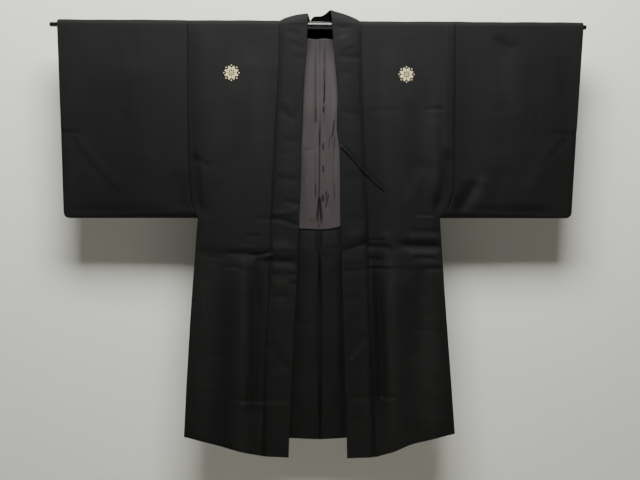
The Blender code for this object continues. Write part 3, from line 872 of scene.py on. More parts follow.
def inward_at(points, quads, rim):
    """Unit directions from the rim's points to the middle of the quads round them."""
    centres = points[quads].mean(axis=1)
    total = np.zeros_like(points)
    uses = np.zeros((len(points), 1))
    for corner in range(4):
        np.add.at(total, quads[:, corner], centres)
        np.add.at(uses, quads[:, corner], 1)
    toward = total[rim] / uses[rim] - points[rim]
    return toward / np.maximum(np.linalg.norm(toward, axis=1, keepdims=True), 1e-9)


# %% Build a wall round a sheet
def cloth_wall(name, points, thickness, finish, tone=1.0, quads=None):
    """A closed wall round a grid of points: two copies half a thickness to each side of it, and a
    nose. Where the sheet is only a part of the grid, its quads are given. Its tone, the painted
    light and shade, goes into a vertex attribute that the finish multiplies the silk's colour by."""
    if quads is None:
        quads = grid_quads(*points.shape[:2])
    points = points.reshape(-1, 3)
    used, quads = np.unique(quads, return_inverse=True)
    quads = quads.reshape(-1, 4)
    tone = np.broadcast_to(np.ravel(tone), len(points))[used]
    half = np.broadcast_to(np.ravel(thickness) / 2, len(points))[used][:, None]
    points = points[used]
    normals = sheet_normals(points, quads)
    edges = border_edges(quads)
    rim = np.unique(edges)
    drawn = points.copy()
    drawn[rim] += inward_at(points, quads, rim) * half[rim] * RIM_PULL
    count = len(points)
    nose = np.zeros(count, int)
    nose[rim] = 2 * count + np.arange(len(rim))
    start, end = edges.T
    near = np.stack([end, start, nose[start], nose[end]], axis=-1)
    far = np.stack([nose[end], nose[start], start + count, end + count], axis=-1)
    everything = np.concatenate([drawn + normals * half, drawn - normals * half, points[rim]])
    faces = np.concatenate([quads, quads[:, ::-1] + count, near, far])
    made = add_mesh(name, everything, faces.tolist(), finish)
    attribute = made.data.attributes.new("tone", "FLOAT", "POINT")
    attribute.data.foreach_set("value", np.concatenate([tone, tone, tone[rim]]))
    print(name, "faces:", len(faces))
    return made


# %% Helpers for pieces and grids
def dress(made, node):
    """Lets a finished piece ride on the coat's one body, in the place of a solid."""
    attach(made, "root")
    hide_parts(node)


def place(x, y, z):
    """Points of a grid from its three arrays."""
    return np.stack(np.broadcast_arrays(x, y, z), axis=-1)


def dense_ends(count, strength=0.6):
    """Shares from 0 to 1 that lie closer together at both ends: t - k sin(2 pi t) / 2 pi."""
    share = np.linspace(0, 1, count)
    return share - strength * np.sin(2 * math.pi * share) / (2 * math.pi)


# %% [markdown]
# ## Finishes
# The silk is a plain weave, dyed black. From a step away its weave only softens the light, while
# slightly thicker threads show as faint level and upright streaks, and years of handling leave
# it cloudy. One node group makes the weave and the streaks for the silk and for the lining, each
# with its own thread pitch. It puts out a height for a Bump node and a shade for the colour.


# %% The weave group
WARP_STREAKS = (420.0, 420.0, 7.0)
WEFT_STREAKS = (6.0, 6.0, 520.0)
THREAD_HEIGHT = 0.35


def weave_group():
    """Crossed sine threads for the height, and stretched noise for the thicker threads."""
    group, given, result = new_group(
        "plain_weave",
        [("Place", "NodeSocketVector", None), ("Threads per Metre", "NodeSocketFloat", 1400.0)],
        [("Height", "NodeSocketFloat"), ("Streaks", "NodeSocketFloat")],
    )
    parts = add_node(group, "ShaderNodeSeparateXYZ")
    join(group, given.outputs["Place"], parts.inputs[0])
    turn = calculate(group, "MULTIPLY", given.outputs["Threads per Metre"], 2 * math.pi)
    warp = calculate(group, "SINE", calculate(group, "MULTIPLY", parts.outputs["X"], turn))
    weft = calculate(group, "SINE", calculate(group, "MULTIPLY", parts.outputs["Z"], turn))
    threads = calculate(group, "MULTIPLY", warp, weft)
    streaks = []
    for stretch in (WARP_STREAKS, WEFT_STREAKS):
        mapping = add_node(group, "ShaderNodeMapping", {"Scale": stretch})
        join(group, given.outputs["Place"], mapping.inputs["Vector"])
        streaks.append(noise(group, 1.0, 2.0, mapping.outputs["Vector"]))
    both = calculate(group, "MULTIPLY", calculate(group, "ADD", *streaks), 0.5)
    join(group, scaled(group, threads, THREAD_HEIGHT, both), result.inputs["Height"])
    join(group, both, result.inputs["Streaks"])
    return group


weave = weave_group()
print("group:", weave.name, [item.name for item in weave.interface.items_tree])


# %% The wear group
CLOUD_SHARE = 0.65
SPECK_REACH = 0.07
SPECK_ABOVE = 0.63


def wear_group():
    """Two sizes of soft noise for the clouds left by handling, and a little pale lint."""
    group, given, result = new_group(
        "handled_cloth",
        [("Place", "NodeSocketVector", None), ("Lint", "NodeSocketFloat", 0.5)],
        [("Clouds", "NodeSocketFloat"), ("Specks", "NodeSocketFloat")],
    )
    broad = noise(group, 5.0, 3.0, given.outputs["Place"])
    fine = noise(group, 34.0, 4.0, given.outputs["Place"])
    dots = add_node(group, "ShaderNodeTexVoronoi", {"Scale": 210.0, "Randomness": 1.0})
    join(group, given.outputs["Place"], dots.inputs["Vector"])
    near = calculate(group, "LESS_THAN", dots.outputs["Distance"], SPECK_REACH)
    chosen = calculate(group, "GREATER_THAN", fine, SPECK_ABOVE)
    specks = calculate(group, "MULTIPLY", near, chosen)
    specks = calculate(group, "MULTIPLY", specks, given.outputs["Lint"])
    join(group, mixed(group, broad, fine, CLOUD_SHARE), result.inputs["Clouds"])
    join(group, specks, result.inputs["Specks"])
    return group


wear_and_painted_shade = wear_group()
print("group:", wear_and_painted_shade.name)

# %% The finishes of cloth
Silk = namedtuple("Silk", "dark light lint rough_low rough_high sheen gloss threads depth_mm")
SILKS = {
    "haori_silk": Silk(
        (0.0036, 0.0042, 0.0035), (0.0082, 0.0091, 0.0080), 0.3, 0.62, 0.74, 0.03, 0.16, 1300, 0.10
    ),
    # a near-black copy of the silk without sheen: painted shadow inside the collar behind the rod
    "neck_shadow_silk": Silk(
        (0.0010, 0.0010, 0.0009), (0.0020, 0.0020, 0.0018), 0.0, 0.80, 0.90, 0.0, 0.02, 1300, 0.10
    ),
    "lining_silk": Silk(
        (0.046, 0.0345, 0.0370), (0.057, 0.0500, 0.0520), 0.2, 0.50, 0.64, 0.05, 0.16, 1700, 0.05
    ),
}
LINT_TINT = (0.16, 0.16, 0.15, 1)
STREAK_SHARE = 0.6
DARK_BELOW = 0.37
LIGHT_ABOVE = 0.63
WEAVE_BUMP = 0.6


def cloth_finish(name):
    """Woven cloth: streaks and clouds shift its colour and gloss, painted light and shade from the
    tone attribute scale its colour, and the weave is a bump.
    """
    silk = SILKS[name]
    gloss = {"Sheen Weight": silk.sheen, "Sheen Roughness": 0.4, "Specular IOR Level": silk.gloss}
    finish, tree, shader = new_finish(name, gloss)
    threads = use_group(tree, weave, "Threads per Metre", silk.threads)
    handled = use_group(tree, wear_and_painted_shade, "Lint", silk.lint)
    clouds = handled.outputs["Clouds"]
    shade = mixed(tree, threads.outputs["Streaks"], clouds, STREAK_SHARE)
    dyed = ramp_between(tree, shade, (DARK_BELOW, silk.dark), (LIGHT_ABOVE, silk.light))
    # the tone attribute scales the dyed colour: painted light and shade of the folds, seams and
    # bands
    tone = add_node(tree, "ShaderNodeAttribute", attribute_name="tone")
    toned = add_node(tree, "ShaderNodeVectorMath", operation="SCALE")
    join(tree, dyed, toned.inputs[0])
    join(tree, tone.outputs["Fac"], toned.inputs["Scale"])
    lint = add_node(tree, "ShaderNodeMix", {7: LINT_TINT}, data_type="RGBA")
    join(tree, handled.outputs["Specks"], lint.inputs[0])
    join(tree, toned.outputs["Vector"], lint.inputs[6])
    join(tree, lint.outputs[2], shader.inputs["Base Color"])
    rough = scaled(tree, clouds, silk.rough_high - silk.rough_low, silk.rough_low)
    join(tree, rough, shader.inputs["Roughness"])
    add_bump(tree, shader, threads.outputs["Height"], WEAVE_BUMP, silk.depth_mm)
    return finish


haori_silk = cloth_finish("haori_silk")
neck_shadow_silk = cloth_finish("neck_shadow_silk")
lining_silk = cloth_finish("lining_silk")
print("finishes:", haori_silk.name, lining_silk.name)

# %% [markdown]
# ## The two body lengths
# Each half of the body is one length of silk, from the front hem over the rod to the back hem,
# with no seam on the shoulder. The back half is wider than the front, because the front was cut
# away to make room for the collar. So the grid has columns from the centre back to the side, and
# the inner ones are used only below the back of the neck.

# %% Rows and columns of the body
FRONT_ROWS = 380
BACK_ROWS = 190
WAIST_SHARE = 0.52
WAIST_REACH = 0.09
WAIST_DENSER = 1.2
PANEL_COLUMNS = dense_ends(68)
TONGUE = np.array((3.6, 2.4, 1.2))
YOKE_COLUMNS = np.concatenate([np.linspace(SEAM_GAP / 2, NECK_HALF, 23)[:-1], NECK_HALF - TONGUE])
ROD_ANGLES = np.linspace(0, math.pi, 16)[1:-1]
NECK_STEPS = np.array((0.0, 0.34, 0.67))


def waist_rows(count):
    """Shares from 0 to 1 whose density is 1 + k exp(-((t - waist) / reach)^2)."""
    share = np.linspace(0, 1, 4000)
    reached = np.cumsum(1 + WAIST_DENSER * bell(share - WAIST_SHARE, WAIST_REACH))
    reached = (reached - reached[0]) / (reached[-1] - reached[0])
    return np.interp(np.linspace(0, 1, count), reached, share)


FRONT_SHARES = waist_rows(FRONT_ROWS)
BACK_SHARES = np.linspace(0, 1, BACK_ROWS)


# %% Where the body's points lie
EDGE_EASE = 2.0
EDGE_FLAT = 4.5


def side_edge(x, z):
    """1 at the body's edge along the armhole, where it laps over the sleeve, and 0 elsewhere."""
    held = between(z, -8, 12, SEAM_LOW, 20)
    return held * smooth((seam_distance("side", x, z) + EDGE_FLAT + EDGE_EASE) / EDGE_EASE)


def front_places(side, shares, rows):
    """x and z of the front sheet, at shares from the collar's seam to the side, for rows down."""
    seam_low = line(side, "seam", FRONT_HEM[0].left)
    side_low = line(side, "side", FRONT_HEM[-1].left)
    hem = column(FRONT_HEM, side, "x", seam_low + shares * (side_low - seam_low))
    z = rows[:, None] * hem[None, :]
    return SIDES[side] * blend(line(side, "seam", z), line(side, "side", z), shares), z


def back_places(side, shares, rows):
    """x and z of the back sheet outside the neck, from the neck's corner down to the hem."""
    side_low = line(side, "side", BACK_HEM[-1].left)
    hem = column(BACK_HEM, side, "x", NECK_HALF + shares * (side_low - NECK_HALF))
    z = NECK_CORNER_TOP + rows[:, None] * (hem - NECK_CORNER_TOP)[None, :]
    return SIDES[side] * blend(NECK_HALF, line(side, "side", z), shares), z


def yoke_places(side, columns, rows):
    """x and z of the back sheet below the neck, from the neck's seam down to the hem."""
    hem = column(BACK_HEM, side, "x", columns)
    top = neck_z(columns)
    z = top + rows[:, None] * (hem - top)[None, :]
    return SIDES[side] * np.broadcast_to(columns, z.shape), z


def over_rod(x, angles):
    """The sheet over the rod: half circles, lifted up to a millimetre where the silk is slack."""
    lift = 0.45 + 0.3 * np.sin(x / 37.0) + 0.25 * np.sin(x / 13.0 + 2.0)
    angles = angles[:, None]
    z = OVER_ROD * np.sin(angles) + lift * np.sin(angles) ** 2
    return place(x, -OVER_ROD * np.cos(angles), z)


def centre_seam(x, z):
    """A narrow groove down the centre of the back, where the two lengths are sewn."""
    return 0.9 * bell(x, 1.8) * smooth((NECK_DEPTH - z) / 10)


# %% One length of the body
LAP_IN = 0.4
LAP_THIN = 0.65
LAP_EASE = 3.0
EDGE_OUT = 0.28
EDGE_THIN = 0.85


def body_front(side):
    """The front sheet from the hem up, with its thickness and tone. Along the collar's seam it
    thins to a tongue under the collar, and along the armhole its edge laps over the sleeve."""
    x, z = front_places(side, PANEL_COLUMNS, FRONT_SHARES[::-1])
    under = SIDES[side] * (np.abs(x[:, :1]) - TONGUE)
    x = np.concatenate([under, x], axis=1)
    z = np.concatenate([np.repeat(z[:, :1], len(TONGUE), axis=1), z], axis=1)
    tucked = 1 - smooth(seam_distance("seam", x, z) / LAP_EASE)
    edge = side_edge(x, z)
    thick = CLOTH - (CLOTH - LAP_THIN) * tucked - (CLOTH - EDGE_THIN) * edge
    return place(x, front_y(x, z) + LAP_IN * tucked - EDGE_OUT * edge, z), thick, front_tone(x, z)


def body_back(side):
    """The back sheet outside the neck, from the rod down, and its thickness from the neck down."""
    step_z = NECK_CORNER_TOP * NECK_STEPS[:, None]
    step_x, _ = back_places(side, PANEL_COLUMNS, np.zeros(len(NECK_STEPS)))
    steps = place(step_x, back_y(step_x, step_z), step_z)
    x, z = back_places(side, PANEL_COLUMNS, BACK_SHARES)
    edge = side_edge(x, z)
    back = place(x, back_y(x, z) + EDGE_OUT * edge, z)
    return np.concatenate([steps, back]), CLOTH - (CLOTH - EDGE_THIN) * edge


def body_length(side):
    """One half of the body as a grid, from the front hem over the rod to the back hem, with the
    quads that are cloth, and each point's thickness and tone."""
    front, front_thick, front_shade = body_front(side)
    back, back_thick = body_back(side)
    over = over_rod(front[-1, len(TONGUE) :, 0], ROD_ANGLES)
    panel = np.concatenate([front[:, len(TONGUE) :], over, back])
    yoke = np.zeros((len(panel), len(YOKE_COLUMNS), 3))
    yoke[:FRONT_ROWS, -len(TONGUE) :] = front[:, : len(TONGUE)]
    x, z = yoke_places(side, YOKE_COLUMNS, BACK_SHARES)
    yoke[-BACK_ROWS:] = place(x, back_y(x, z) - centre_seam(x, z), z)
    points = np.concatenate([yoke, panel], axis=1)
    rows, columns = points.shape[:2]
    thick = np.full((rows, columns), CLOTH)
    tone = back_tone(points[..., 0], points[..., 2])
    first = len(YOKE_COLUMNS) - len(TONGUE)
    thick[:FRONT_ROWS, first:] = front_thick
    tone[:FRONT_ROWS, first:] = front_shade
    thick[-BACK_ROWS:, len(YOKE_COLUMNS) :] = back_thick
    quads = grid_quads(rows, columns)
    row, column_place = np.divmod(quads[:, 0], columns)
    kept = (column_place >= len(YOKE_COLUMNS)) | (row >= rows - BACK_ROWS)
    kept |= (column_place >= first) & (row < FRONT_ROWS - 1)
    return points, quads[kept], thick, tone


for side in SIDES:
    points, quads, thickness, tone = body_length(side)
    made = cloth_wall(f"silk_body_{side}", points, thickness, haori_silk, tone, quads)
    dress(made, f"body_{side}")

# %% [markdown]
# ## The sleeves
# A sleeve is one width of silk folded at its lower edge, so it is a flat tube with the rod along
# its top. Its outer end is open for the hand down to a quarter of a metre and sewn shut below that,
# with a small round corner. As a grid it runs once round the tube: down the front, round the
# lower fold, up the back and over the rod. Towards the sewn end the two layers draw together.

# %% Rows and columns of a sleeve
SLEEVE_FRONT_ROWS = np.linspace(0, 1, 126)
SLEEVE_COLUMNS = dense_ends(78, 0.7)
BOTTOM_ANGLES = np.linspace(0, math.pi, 10)[1:-1]
ARMHOLE_TONGUE = np.array((4.0, 2.6, 1.2))

# the numbers of a ring and of the ring opposite it add up to this
SLEEVE_MIRROR = 2 * len(SLEEVE_FRONT_ROWS) + len(BOTTOM_ANGLES) - 1


def add_tongue(given):
    """The same values, with those of the first column repeated for the tongue at the armhole."""
    return np.concatenate([np.repeat(given[..., :1], len(ARMHOLE_TONGUE), axis=-1), given], axis=-1)


# %% The sleeve's lower fold and its sewn end
END_REACH = 16.0
OPENING_SOFT = 14.0


def sleeve_bottom(side, shares):
    """Where the front turns under, and the lowest height, which rises at the round corner."""
    inner_low = line(side, "side", -SLEEVE_DROP)
    width = SLEEVE_END[side].low - inner_low
    inset = np.clip(SLEEVE_CORNER - (1 - shares) * width, 0, SLEEVE_CORNER)
    raised = SLEEVE_CORNER - np.sqrt(SLEEVE_CORNER**2 - inset**2)
    bottom = -SLEEVE_DROP + raised
    return bottom + half_gap(inner_low + shares * width, -SLEEVE_DROP), bottom


def end_squeeze(from_end, z):
    """1 along the sleeve, easing as a quarter circle to 0 at the end that is sewn shut."""
    share = np.clip(1 - from_end / END_REACH, 0, 1)
    shut = smooth((CUFF_OPENING_LOW - z + OPENING_SOFT) / OPENING_SOFT)
    return 1 - shut * (1 - np.sqrt(1 - share**2))


# %% The sleeve's quads
TUCK_TOP = -22.0
TUCK_LOW = -415.0


def sleeve_quads(points):
    """Quads of the closed rings: the tongue's only where it is sewn in, and below the cuff's
    opening a row that joins each ring of the front to the ring opposite it."""
    loop, columns = points.shape[:2]
    height = np.concatenate([points, points[:1]])[..., 2]
    quads = grid_quads(loop + 1, columns)
    row, column_place = np.divmod(quads[:, 0], columns)
    corner = height[row, column_place]
    sewn = (corner < TUCK_TOP) & (corner > TUCK_LOW)
    quads = quads[(column_place >= len(ARMHOLE_TONGUE)) | sewn] % (loop * columns)
    count = len(SLEEVE_FRONT_ROWS)
    first = int(np.argmax(height[:count, -1] < CUFF_OPENING_LOW))
    ring = np.arange(first, count + len(BOTTOM_ANGLES) // 2 - 1)
    opposite = SLEEVE_MIRROR - ring
    shut = np.stack([ring + 1, ring, opposite, opposite - 1], axis=-1)
    return np.concatenate([quads, shut * columns + columns - 1])


# %% One sleeve
TUCK_IN = 0.6
TUCK_THIN = 0.5
END_HALF = 1.6


def sleeve_tube(side):
    """Points of the sleeve, ring by ring, its quads, and each point's thickness and tone. At the
    armhole a tongue of it goes on under the body's edge."""
    sign = SIDES[side]
    end = SLEEVE_END[side]
    shares = SLEEVE_COLUMNS
    turn_z, bottom = sleeve_bottom(side, shares)
    z = SLEEVE_FRONT_ROWS[:, None] * turn_z[None, :]
    outer_edge = end.top + (end.low - end.top) * z / -SLEEVE_DROP
    x = blend(line(side, "side", z) + SEAM_GAP, outer_edge, shares)
    squeeze = end_squeeze(outer_edge - x, z)
    x = np.concatenate([x[:, :1] - ARMHOLE_TONGUE, x], axis=1)
    z, squeeze, turn_z, bottom = (add_tongue(given) for given in (z, squeeze, turn_z, bottom))
    tucked = 1 - smooth((seam_distance("side", sign * x, z) - SEAM_GAP) / LAP_EASE)
    tucked *= between(z, -14, 8, -432, 14)
    front = front_y(sign * x, z) + TUCK_IN * tucked
    back = back_y(sign * x, z) - TUCK_IN * tucked
    centre = (front + back) / 2
    reach = np.maximum((back - front) / 2, END_HALF)
    reach = END_HALF + (reach - END_HALF) * squeeze
    under = BOTTOM_ANGLES[:, None]
    low_y = centre[-1] - reach[-1] * np.cos(under)
    low_z = turn_z - (turn_z - bottom) * np.sin(under)
    inward = np.concatenate([np.ones(len(ARMHOLE_TONGUE)), 1 - shares])
    low_x = x[-1] + inward * (line(side, "side", low_z) - line(side, "side", turn_z))
    rings = [
        place(x, centre - reach, z),
        place(low_x, low_y, low_z),
        place(x, centre + reach, z)[::-1],
        over_rod(sign * x[0], ROD_ANGLES[::-1]) * (sign, 1, 1),
    ]
    points = np.concatenate(rings) * (sign, 1, 1)
    count = len(SLEEVE_FRONT_ROWS)
    back_rings = slice(SLEEVE_MIRROR + 1 - count, SLEEVE_MIRROR + 1)
    thick = np.full(points.shape[:2], CLOTH)
    thin = (CLOTH - TUCK_THIN) * tucked
    thick[:count] -= thin
    thick[back_rings] -= thin[::-1]
    tone = np.ones(points.shape[:2])
    tone[:count] = front_tone(sign * x, z)
    tone[back_rings] = back_tone(sign * x, z)[::-1]
    return points, sleeve_quads(points), thick, tone


for side in SIDES:
    points, quads, thickness, tone = sleeve_tube(side)
    made = cloth_wall(f"silk_sleeve_{side}", points, thickness, haori_silk, tone, quads)
    dress(made, f"sleeve_{side}")

# %% [markdown]
# ## The gussets
# Below each sleeve a long narrow strip joins front and back. It widens towards the hem and
# folds inwards when the coat hangs flat. Half a sine wave across gives that fold, and its depth
# grows with an S-curve from the armhole to the hem. Its top follows the sleeve's round bottom.

# %% Make the gussets
GUSSET_ROWS = 110
GUSSET_COLUMNS = 19
GUSSET_CLOTH = 1.2
GUSSET_DEPTH_TOP = 0.5
GUSSET_DEPTH_HEM = 22.0


def gusset_sheet(side):
    """The strip's points: x goes in by depth * sin(pi u), and y runs from front to back with u."""
    hem = column(FRONT_HEM, side, "x", line(side, "side", FRONT_HEM[-1].left))
    top = (SLEEVE_DROP + 2 * SEAM_GAP) / -hem
    rows = np.linspace(top, 1, GUSSET_ROWS)
    across = np.linspace(0, 1, GUSSET_COLUMNS)[None, :]
    z = (rows * hem)[:, None]
    deeper = smooth((z + SLEEVE_DROP) / (hem + SLEEVE_DROP))
    depth = GUSSET_DEPTH_TOP + (GUSSET_DEPTH_HEM - GUSSET_DEPTH_TOP) * deeper
    edge = line(side, "side", z)
    clear = CLOTH / 2 + SEAM_GAP + GUSSET_CLOTH / 2
    low = front_y(SIDES[side] * edge, z) + clear
    high = back_y(SIDES[side] * edge, z) - clear
    waver = 0.8 * np.sin(z / 41.0 + 2 * across)
    x = edge - (depth + waver * deeper) * np.sin(math.pi * across) - GUSSET_CLOTH
    y = low + (high - low) * across
    z = np.repeat(z, across.size, axis=1)
    round_fold = half_gap(edge[0], z[0])
    z[0] = round_fold - SLEEVE_DROP - np.sqrt(np.maximum(round_fold**2 - y[0] ** 2, 0))
    return place(SIDES[side] * x, y, z)


for side in SIDES:
    made = cloth_wall(f"silk_gusset_{side}", gusset_sheet(side), GUSSET_CLOTH, haori_silk)
    dress(made, f"gusset_{side}")

# %% [markdown]
# ## The lining and the hem facing
# Between the collars the inside of the back shows. Its upper part is lined with thin mauve silk,
# cut a little longer than the back so that it never strains, and the spare length puckers along
# the upright seams. Below it the black silk itself is turned up inside as a deep facing, up to
# the lining's lower edge, which lies over it. Both are in two halves that meet in a seam.

# %% Creases of the inside
LINING_CREASES = creases(
    (11.8, -36, 11.4, -190, 3.2, -0.9),
    (8.4, -36, 8.0, -200, 3.0, 0.6),
    (-9.4, -44, -9.4, -222, 3.0, -0.9),
    (-14, -44, -13, -230, 4.5, 0.6),
    (-34, -60, -33, -460, 12, 0.9),
    (26, -60, 27, -460, 11, 0.9),
    (-20, -230, -18, -460, 9, -0.6),
    (9, -230, 12, -420, 7, 0.7),
    (-1.0, -396, -7.5, -452, 2.6, -1.6),
    (-1.0, -396, 5.0, -458, 2.8, -1.8),
    (0.0, -410, -1.5, -470, 4.0, 0.9),
    (15, -384, 20, -428, 2.6, -0.9),
    (22, -388, 28, -424, 2.6, 0.6),
    (32, -220, 32, -290, 2.6, -0.8),
    (35, -258, 34, -400, 2.8, -0.8),
    (-44, -285, -8, -284, 3.4, -0.3),
    (-26, -449, -10, -451, 3.0, -0.8),
    (-60, -120, -58, -440, 12, -1.0),
    (70, -100, 66, -440, 12, -1.0),
    (140, -80, 150, -440, 18, 1.2),
    (-150, -80, -146, -440, 18, 1.2),
)
FACING_CREASES = creases(
    (-8.6, -466, -6.4, -530, 2.6, -1.2),
    (3.0, -466, 1.0, -530, 2.6, -1.2),
    (-0.4, -552, 0.6, -945, 6, -2.0),
    (-20, -540, -19, -945, 8, 1.2),
    (-34, -500, -36, -945, 8, -0.9),
    (14, -520, 16, -945, 8, 1.1),
    (34, -520, 38, -945, 9, -1.1),
    (8, -516, 40, -511, 3.0, -0.8),
    (0, -530, 28, -535, 3.0, -0.8),
    (-70, -862, 70, -866, 6, -0.7),
    (-60, -690, 40, -702, 9, -0.5),
)

LINING_SHADES = creases(
    # Painted shade in the hollow below the neck, under the collar and the rod, and on the flanks of
    # the two puckered seams.
    (-90, -34, 90, -34, 34, -0.5),
    (-40, -60, -40, -460, 10, -0.12),
    (-12, -44, -11, -250, 3.6, -0.22),
    (11, -44, 10, -240, 3.0, -0.3),
    # Painted shade in the puckers along them, short or drawn out to a line.
    (-9.4, -70, -9.3, -225, 0.8, -0.9),
    (-9.4, -184, -9.2, -226, 1.3, -1.9),
    (-10.4, -285, -10.4, -400, 0.9, -0.5),
    (-10.4, -364, -10.2, -400, 1.1, -1.4),
    (10.4, -48, 10.4, -92, 0.8, -0.8),
    (10.4, -96, 10.2, -122, 1.1, -1.0),
    (11.2, -120, 9.8, -178, 1.3, -2.6),
    (9.2, -164, 9.0, -180, 1.3, -2.0),
    (8.6, -184, 8.4, -202, 1.5, -2.9),
    (7.4, -270, 7.6, -288, 1.4, -2.4),
    (7.6, -322, 7.4, -340, 1.3, -2.4),
    (7.2, -390, 6.8, -408, 1.6, -2.9),
    (34.2, -214, 28.0, -260, 1.1, -2.2),
    (25.0, -250, 19.6, -286, 1.0, -1.2),
    (34.4, -252, 34.0, -290, 1.0, -1.0),
    (34.2, -362, 33.6, -408, 1.1, -1.0),
    (21.0, -386, 12.6, -424, 1.1, -1.9),
    (15.5, -378, 14.0, -406, 1.3, -0.9),
    (-44, -286, -8, -283, 1.6, -0.4),
    # Painted shade in the centre seam, and in the tuck where it ends.
    (1.0, -200, -1.8, -430, 1.0, -1.3),
    (-0.4, -240, -1.0, -280, 1.3, -1.2),
    (-1.0, -394, -7.0, -458, 2.2, -2.0),
    (-1.0, -394, 4.6, -462, 2.4, -2.2),
    (-28, -452, -10, -454, 1.6, -0.8),
    # The edges beside the collar catch the light between its folds.
    (-29, 60, -41, -320, 7, 0.4),
    (-41, -190, -49, -640, 7, 0.4),
    (28, 60, 43, -320, 8, 0.45),
    (43, -190, 48, -640, 8, 0.45),
)
FACING_SHADES = creases(
    # painted light and shade on the facing: lighter bands, painted shade in the centre seam and its
    # creases, and painted light along the edges beside the collar
    (-60, -500, 60, -506, 40, 0.1),
    (-2, -480, -2, -1000, 60, 0.14),
    (-8.6, -466, -7.6, -534, 2.4, -1.2),
    (2.6, -462, 1.6, -534, 2.6, -1.6),
    (0.0, -500, 0.6, -975, 3.6, -3.5),
    (6, -516, 44, -510, 3.0, -0.8),
    (-2, -530, 30, -536, 3.0, -0.7),
    (2, -552, 42, -554, 14, 0.3),
    (-46, -430, -66, -1040, 9, 0.55),
    (46, -430, 66, -1040, 9, 0.55),
)

Low = namedtuple("Low", "x z")
LINING_LOW = (
    Low(-300, -468),
    Low(-52, -470),
    Low(0, -472.5),
    Low(25, -471),
    Low(50, -466),
    Low(300, -466),
)
Centre = namedtuple("Centre", "z x")
INSIDE_CENTRE = (
    Centre(-28, 0.0),
    Centre(-215, 0.6),
    Centre(-250, -1.6),
    Centre(-404, -1.9),
    Centre(-560, -2.8),
    Centre(-942, 1.0),
)

# %% Lay out the inside
INSIDE_SHARES = np.concatenate([np.linspace(0, 0.19, 62), np.linspace(0.19, 1, 24)[1:]])
INSIDE_REACH = 0.86
INSIDE_CLEAR = CLOTH / 2 + SEAM_GAP + LINING_CLOTH / 2
CENTRE_HOLD = 60.0
CENTRE_START = {"left": -1.8, "right": 0.1}
CENTRE_FLAT = {"left": 0.0, "right": 2.0}
CENTRE_EASE = 2.0
CENTRE_THIN = 0.5
CENTRE_STEP = 0.35

Hollow = namedtuple("Hollow", "z reach depth")
HOLLOWS = (Hollow(-194, 34, 1.1), Hollow(-530, 46, 3.6), Hollow(-866, 34, 1.5))


def inside_y(x, z):
    """The back's surface as the inner cloth follows it: with its upright folds, but bridging its
    level creases by soft hollows."""
    upright = [
        row
        for row in BACK_FOLDS + BACK_CREASES
        if abs(row.z_low - row.z_top) > abs(row.x_low - row.x_top)
    ]
    hollow = sum(row.depth * bell(z - row.z, row.reach) for row in HOLLOWS)
    return half_gap(x, z) + relief(upright, x, z) + outer_ripple(x, z, BACK_SHIFT) - hollow


def inside_places(side, low_of, rows, high_of):
    """Signed x and z of an inside sheet: shares of the way to near the side, columns densest at
    the centre seam, which wanders a few millimetres from the centre line."""
    guess = INSIDE_SHARES * line(side, "side", -200.0) * INSIDE_REACH
    high = high_of(SIDES[side] * guess)
    low = low_of(SIDES[side] * guess)
    z = high + rows[:, None] * (low - high)
    reach = NECK_HALF + INSIDE_REACH * (line(side, "side", z) - NECK_HALF)
    start = CENTRE_START[side]
    x = SIDES[side] * (start + INSIDE_SHARES * (reach - start))
    held = 1 - smooth(np.abs(x) / CENTRE_HOLD)
    return x + held * column(INSIDE_CENTRE, "x", "z", z), z


def centre_lap(side, x, z):
    """At the centre seam the right half's thin edge laps over the left half's: how far each stands
    behind its own middle, and how thick it is there."""
    away = SIDES[side] * (x - column(INSIDE_CENTRE, "x", "z", z))
    thin = 1 - smooth((away - CENTRE_FLAT[side]) / CENTRE_EASE)
    return -SIDES[side] * CENTRE_STEP * thin, LINING_CLOTH - (LINING_CLOTH - CENTRE_THIN) * thin


# %% The lining's and the facing's sheets
LINING_ROWS = 240
LINING_SLACK = 2.0
TOP_WAVE = 0.9
TOP_WAVE_LENGTH = 6.0
CENTRE_OPENS = -215.0
FACING_ROWS = 110
FACING_SLACK = 0.8
FACING_UNDER = 9.0
FACING_SHORT = 1.5
FACING_SEAM = 1.3
UNDER_EASE = 16.0


def lining_low(x):
    """The height of the lining's lower edge."""
    return column(LINING_LOW, "z", "x", x)


def inside_seam(x, z):
    """The groove of the centre seam inside, where the two halves meet."""
    return bell(x - column(INSIDE_CENTRE, "x", "z", z), 1.5)


def lining_sheet(side):
    """The lining's points, thickness and tone. Its top edge waves a little behind the neck, and
    its centre seam shows from the height where it opens."""
    x, z = inside_places(side, lining_low, np.linspace(0, 1, LINING_ROWS), neck_z)
    z[0] += TOP_WAVE * np.sin(x[0] / TOP_WAVE_LENGTH) * smooth(1.6 - np.abs(x[0]) / 40)
    opened = smooth((CENTRE_OPENS - z) / 40)
    marks = relief(LINING_CREASES, x, z) - opened * inside_seam(x, z) + ripple(3 * x, 2 * z, 0.3)
    behind, thick = centre_lap(side, x, z)
    y = inside_y(x, z) - INSIDE_CLEAR - LINING_SLACK - marks + behind
    return place(x, y, z), thick, np.exp(relief(LINING_SHADES, x, z))


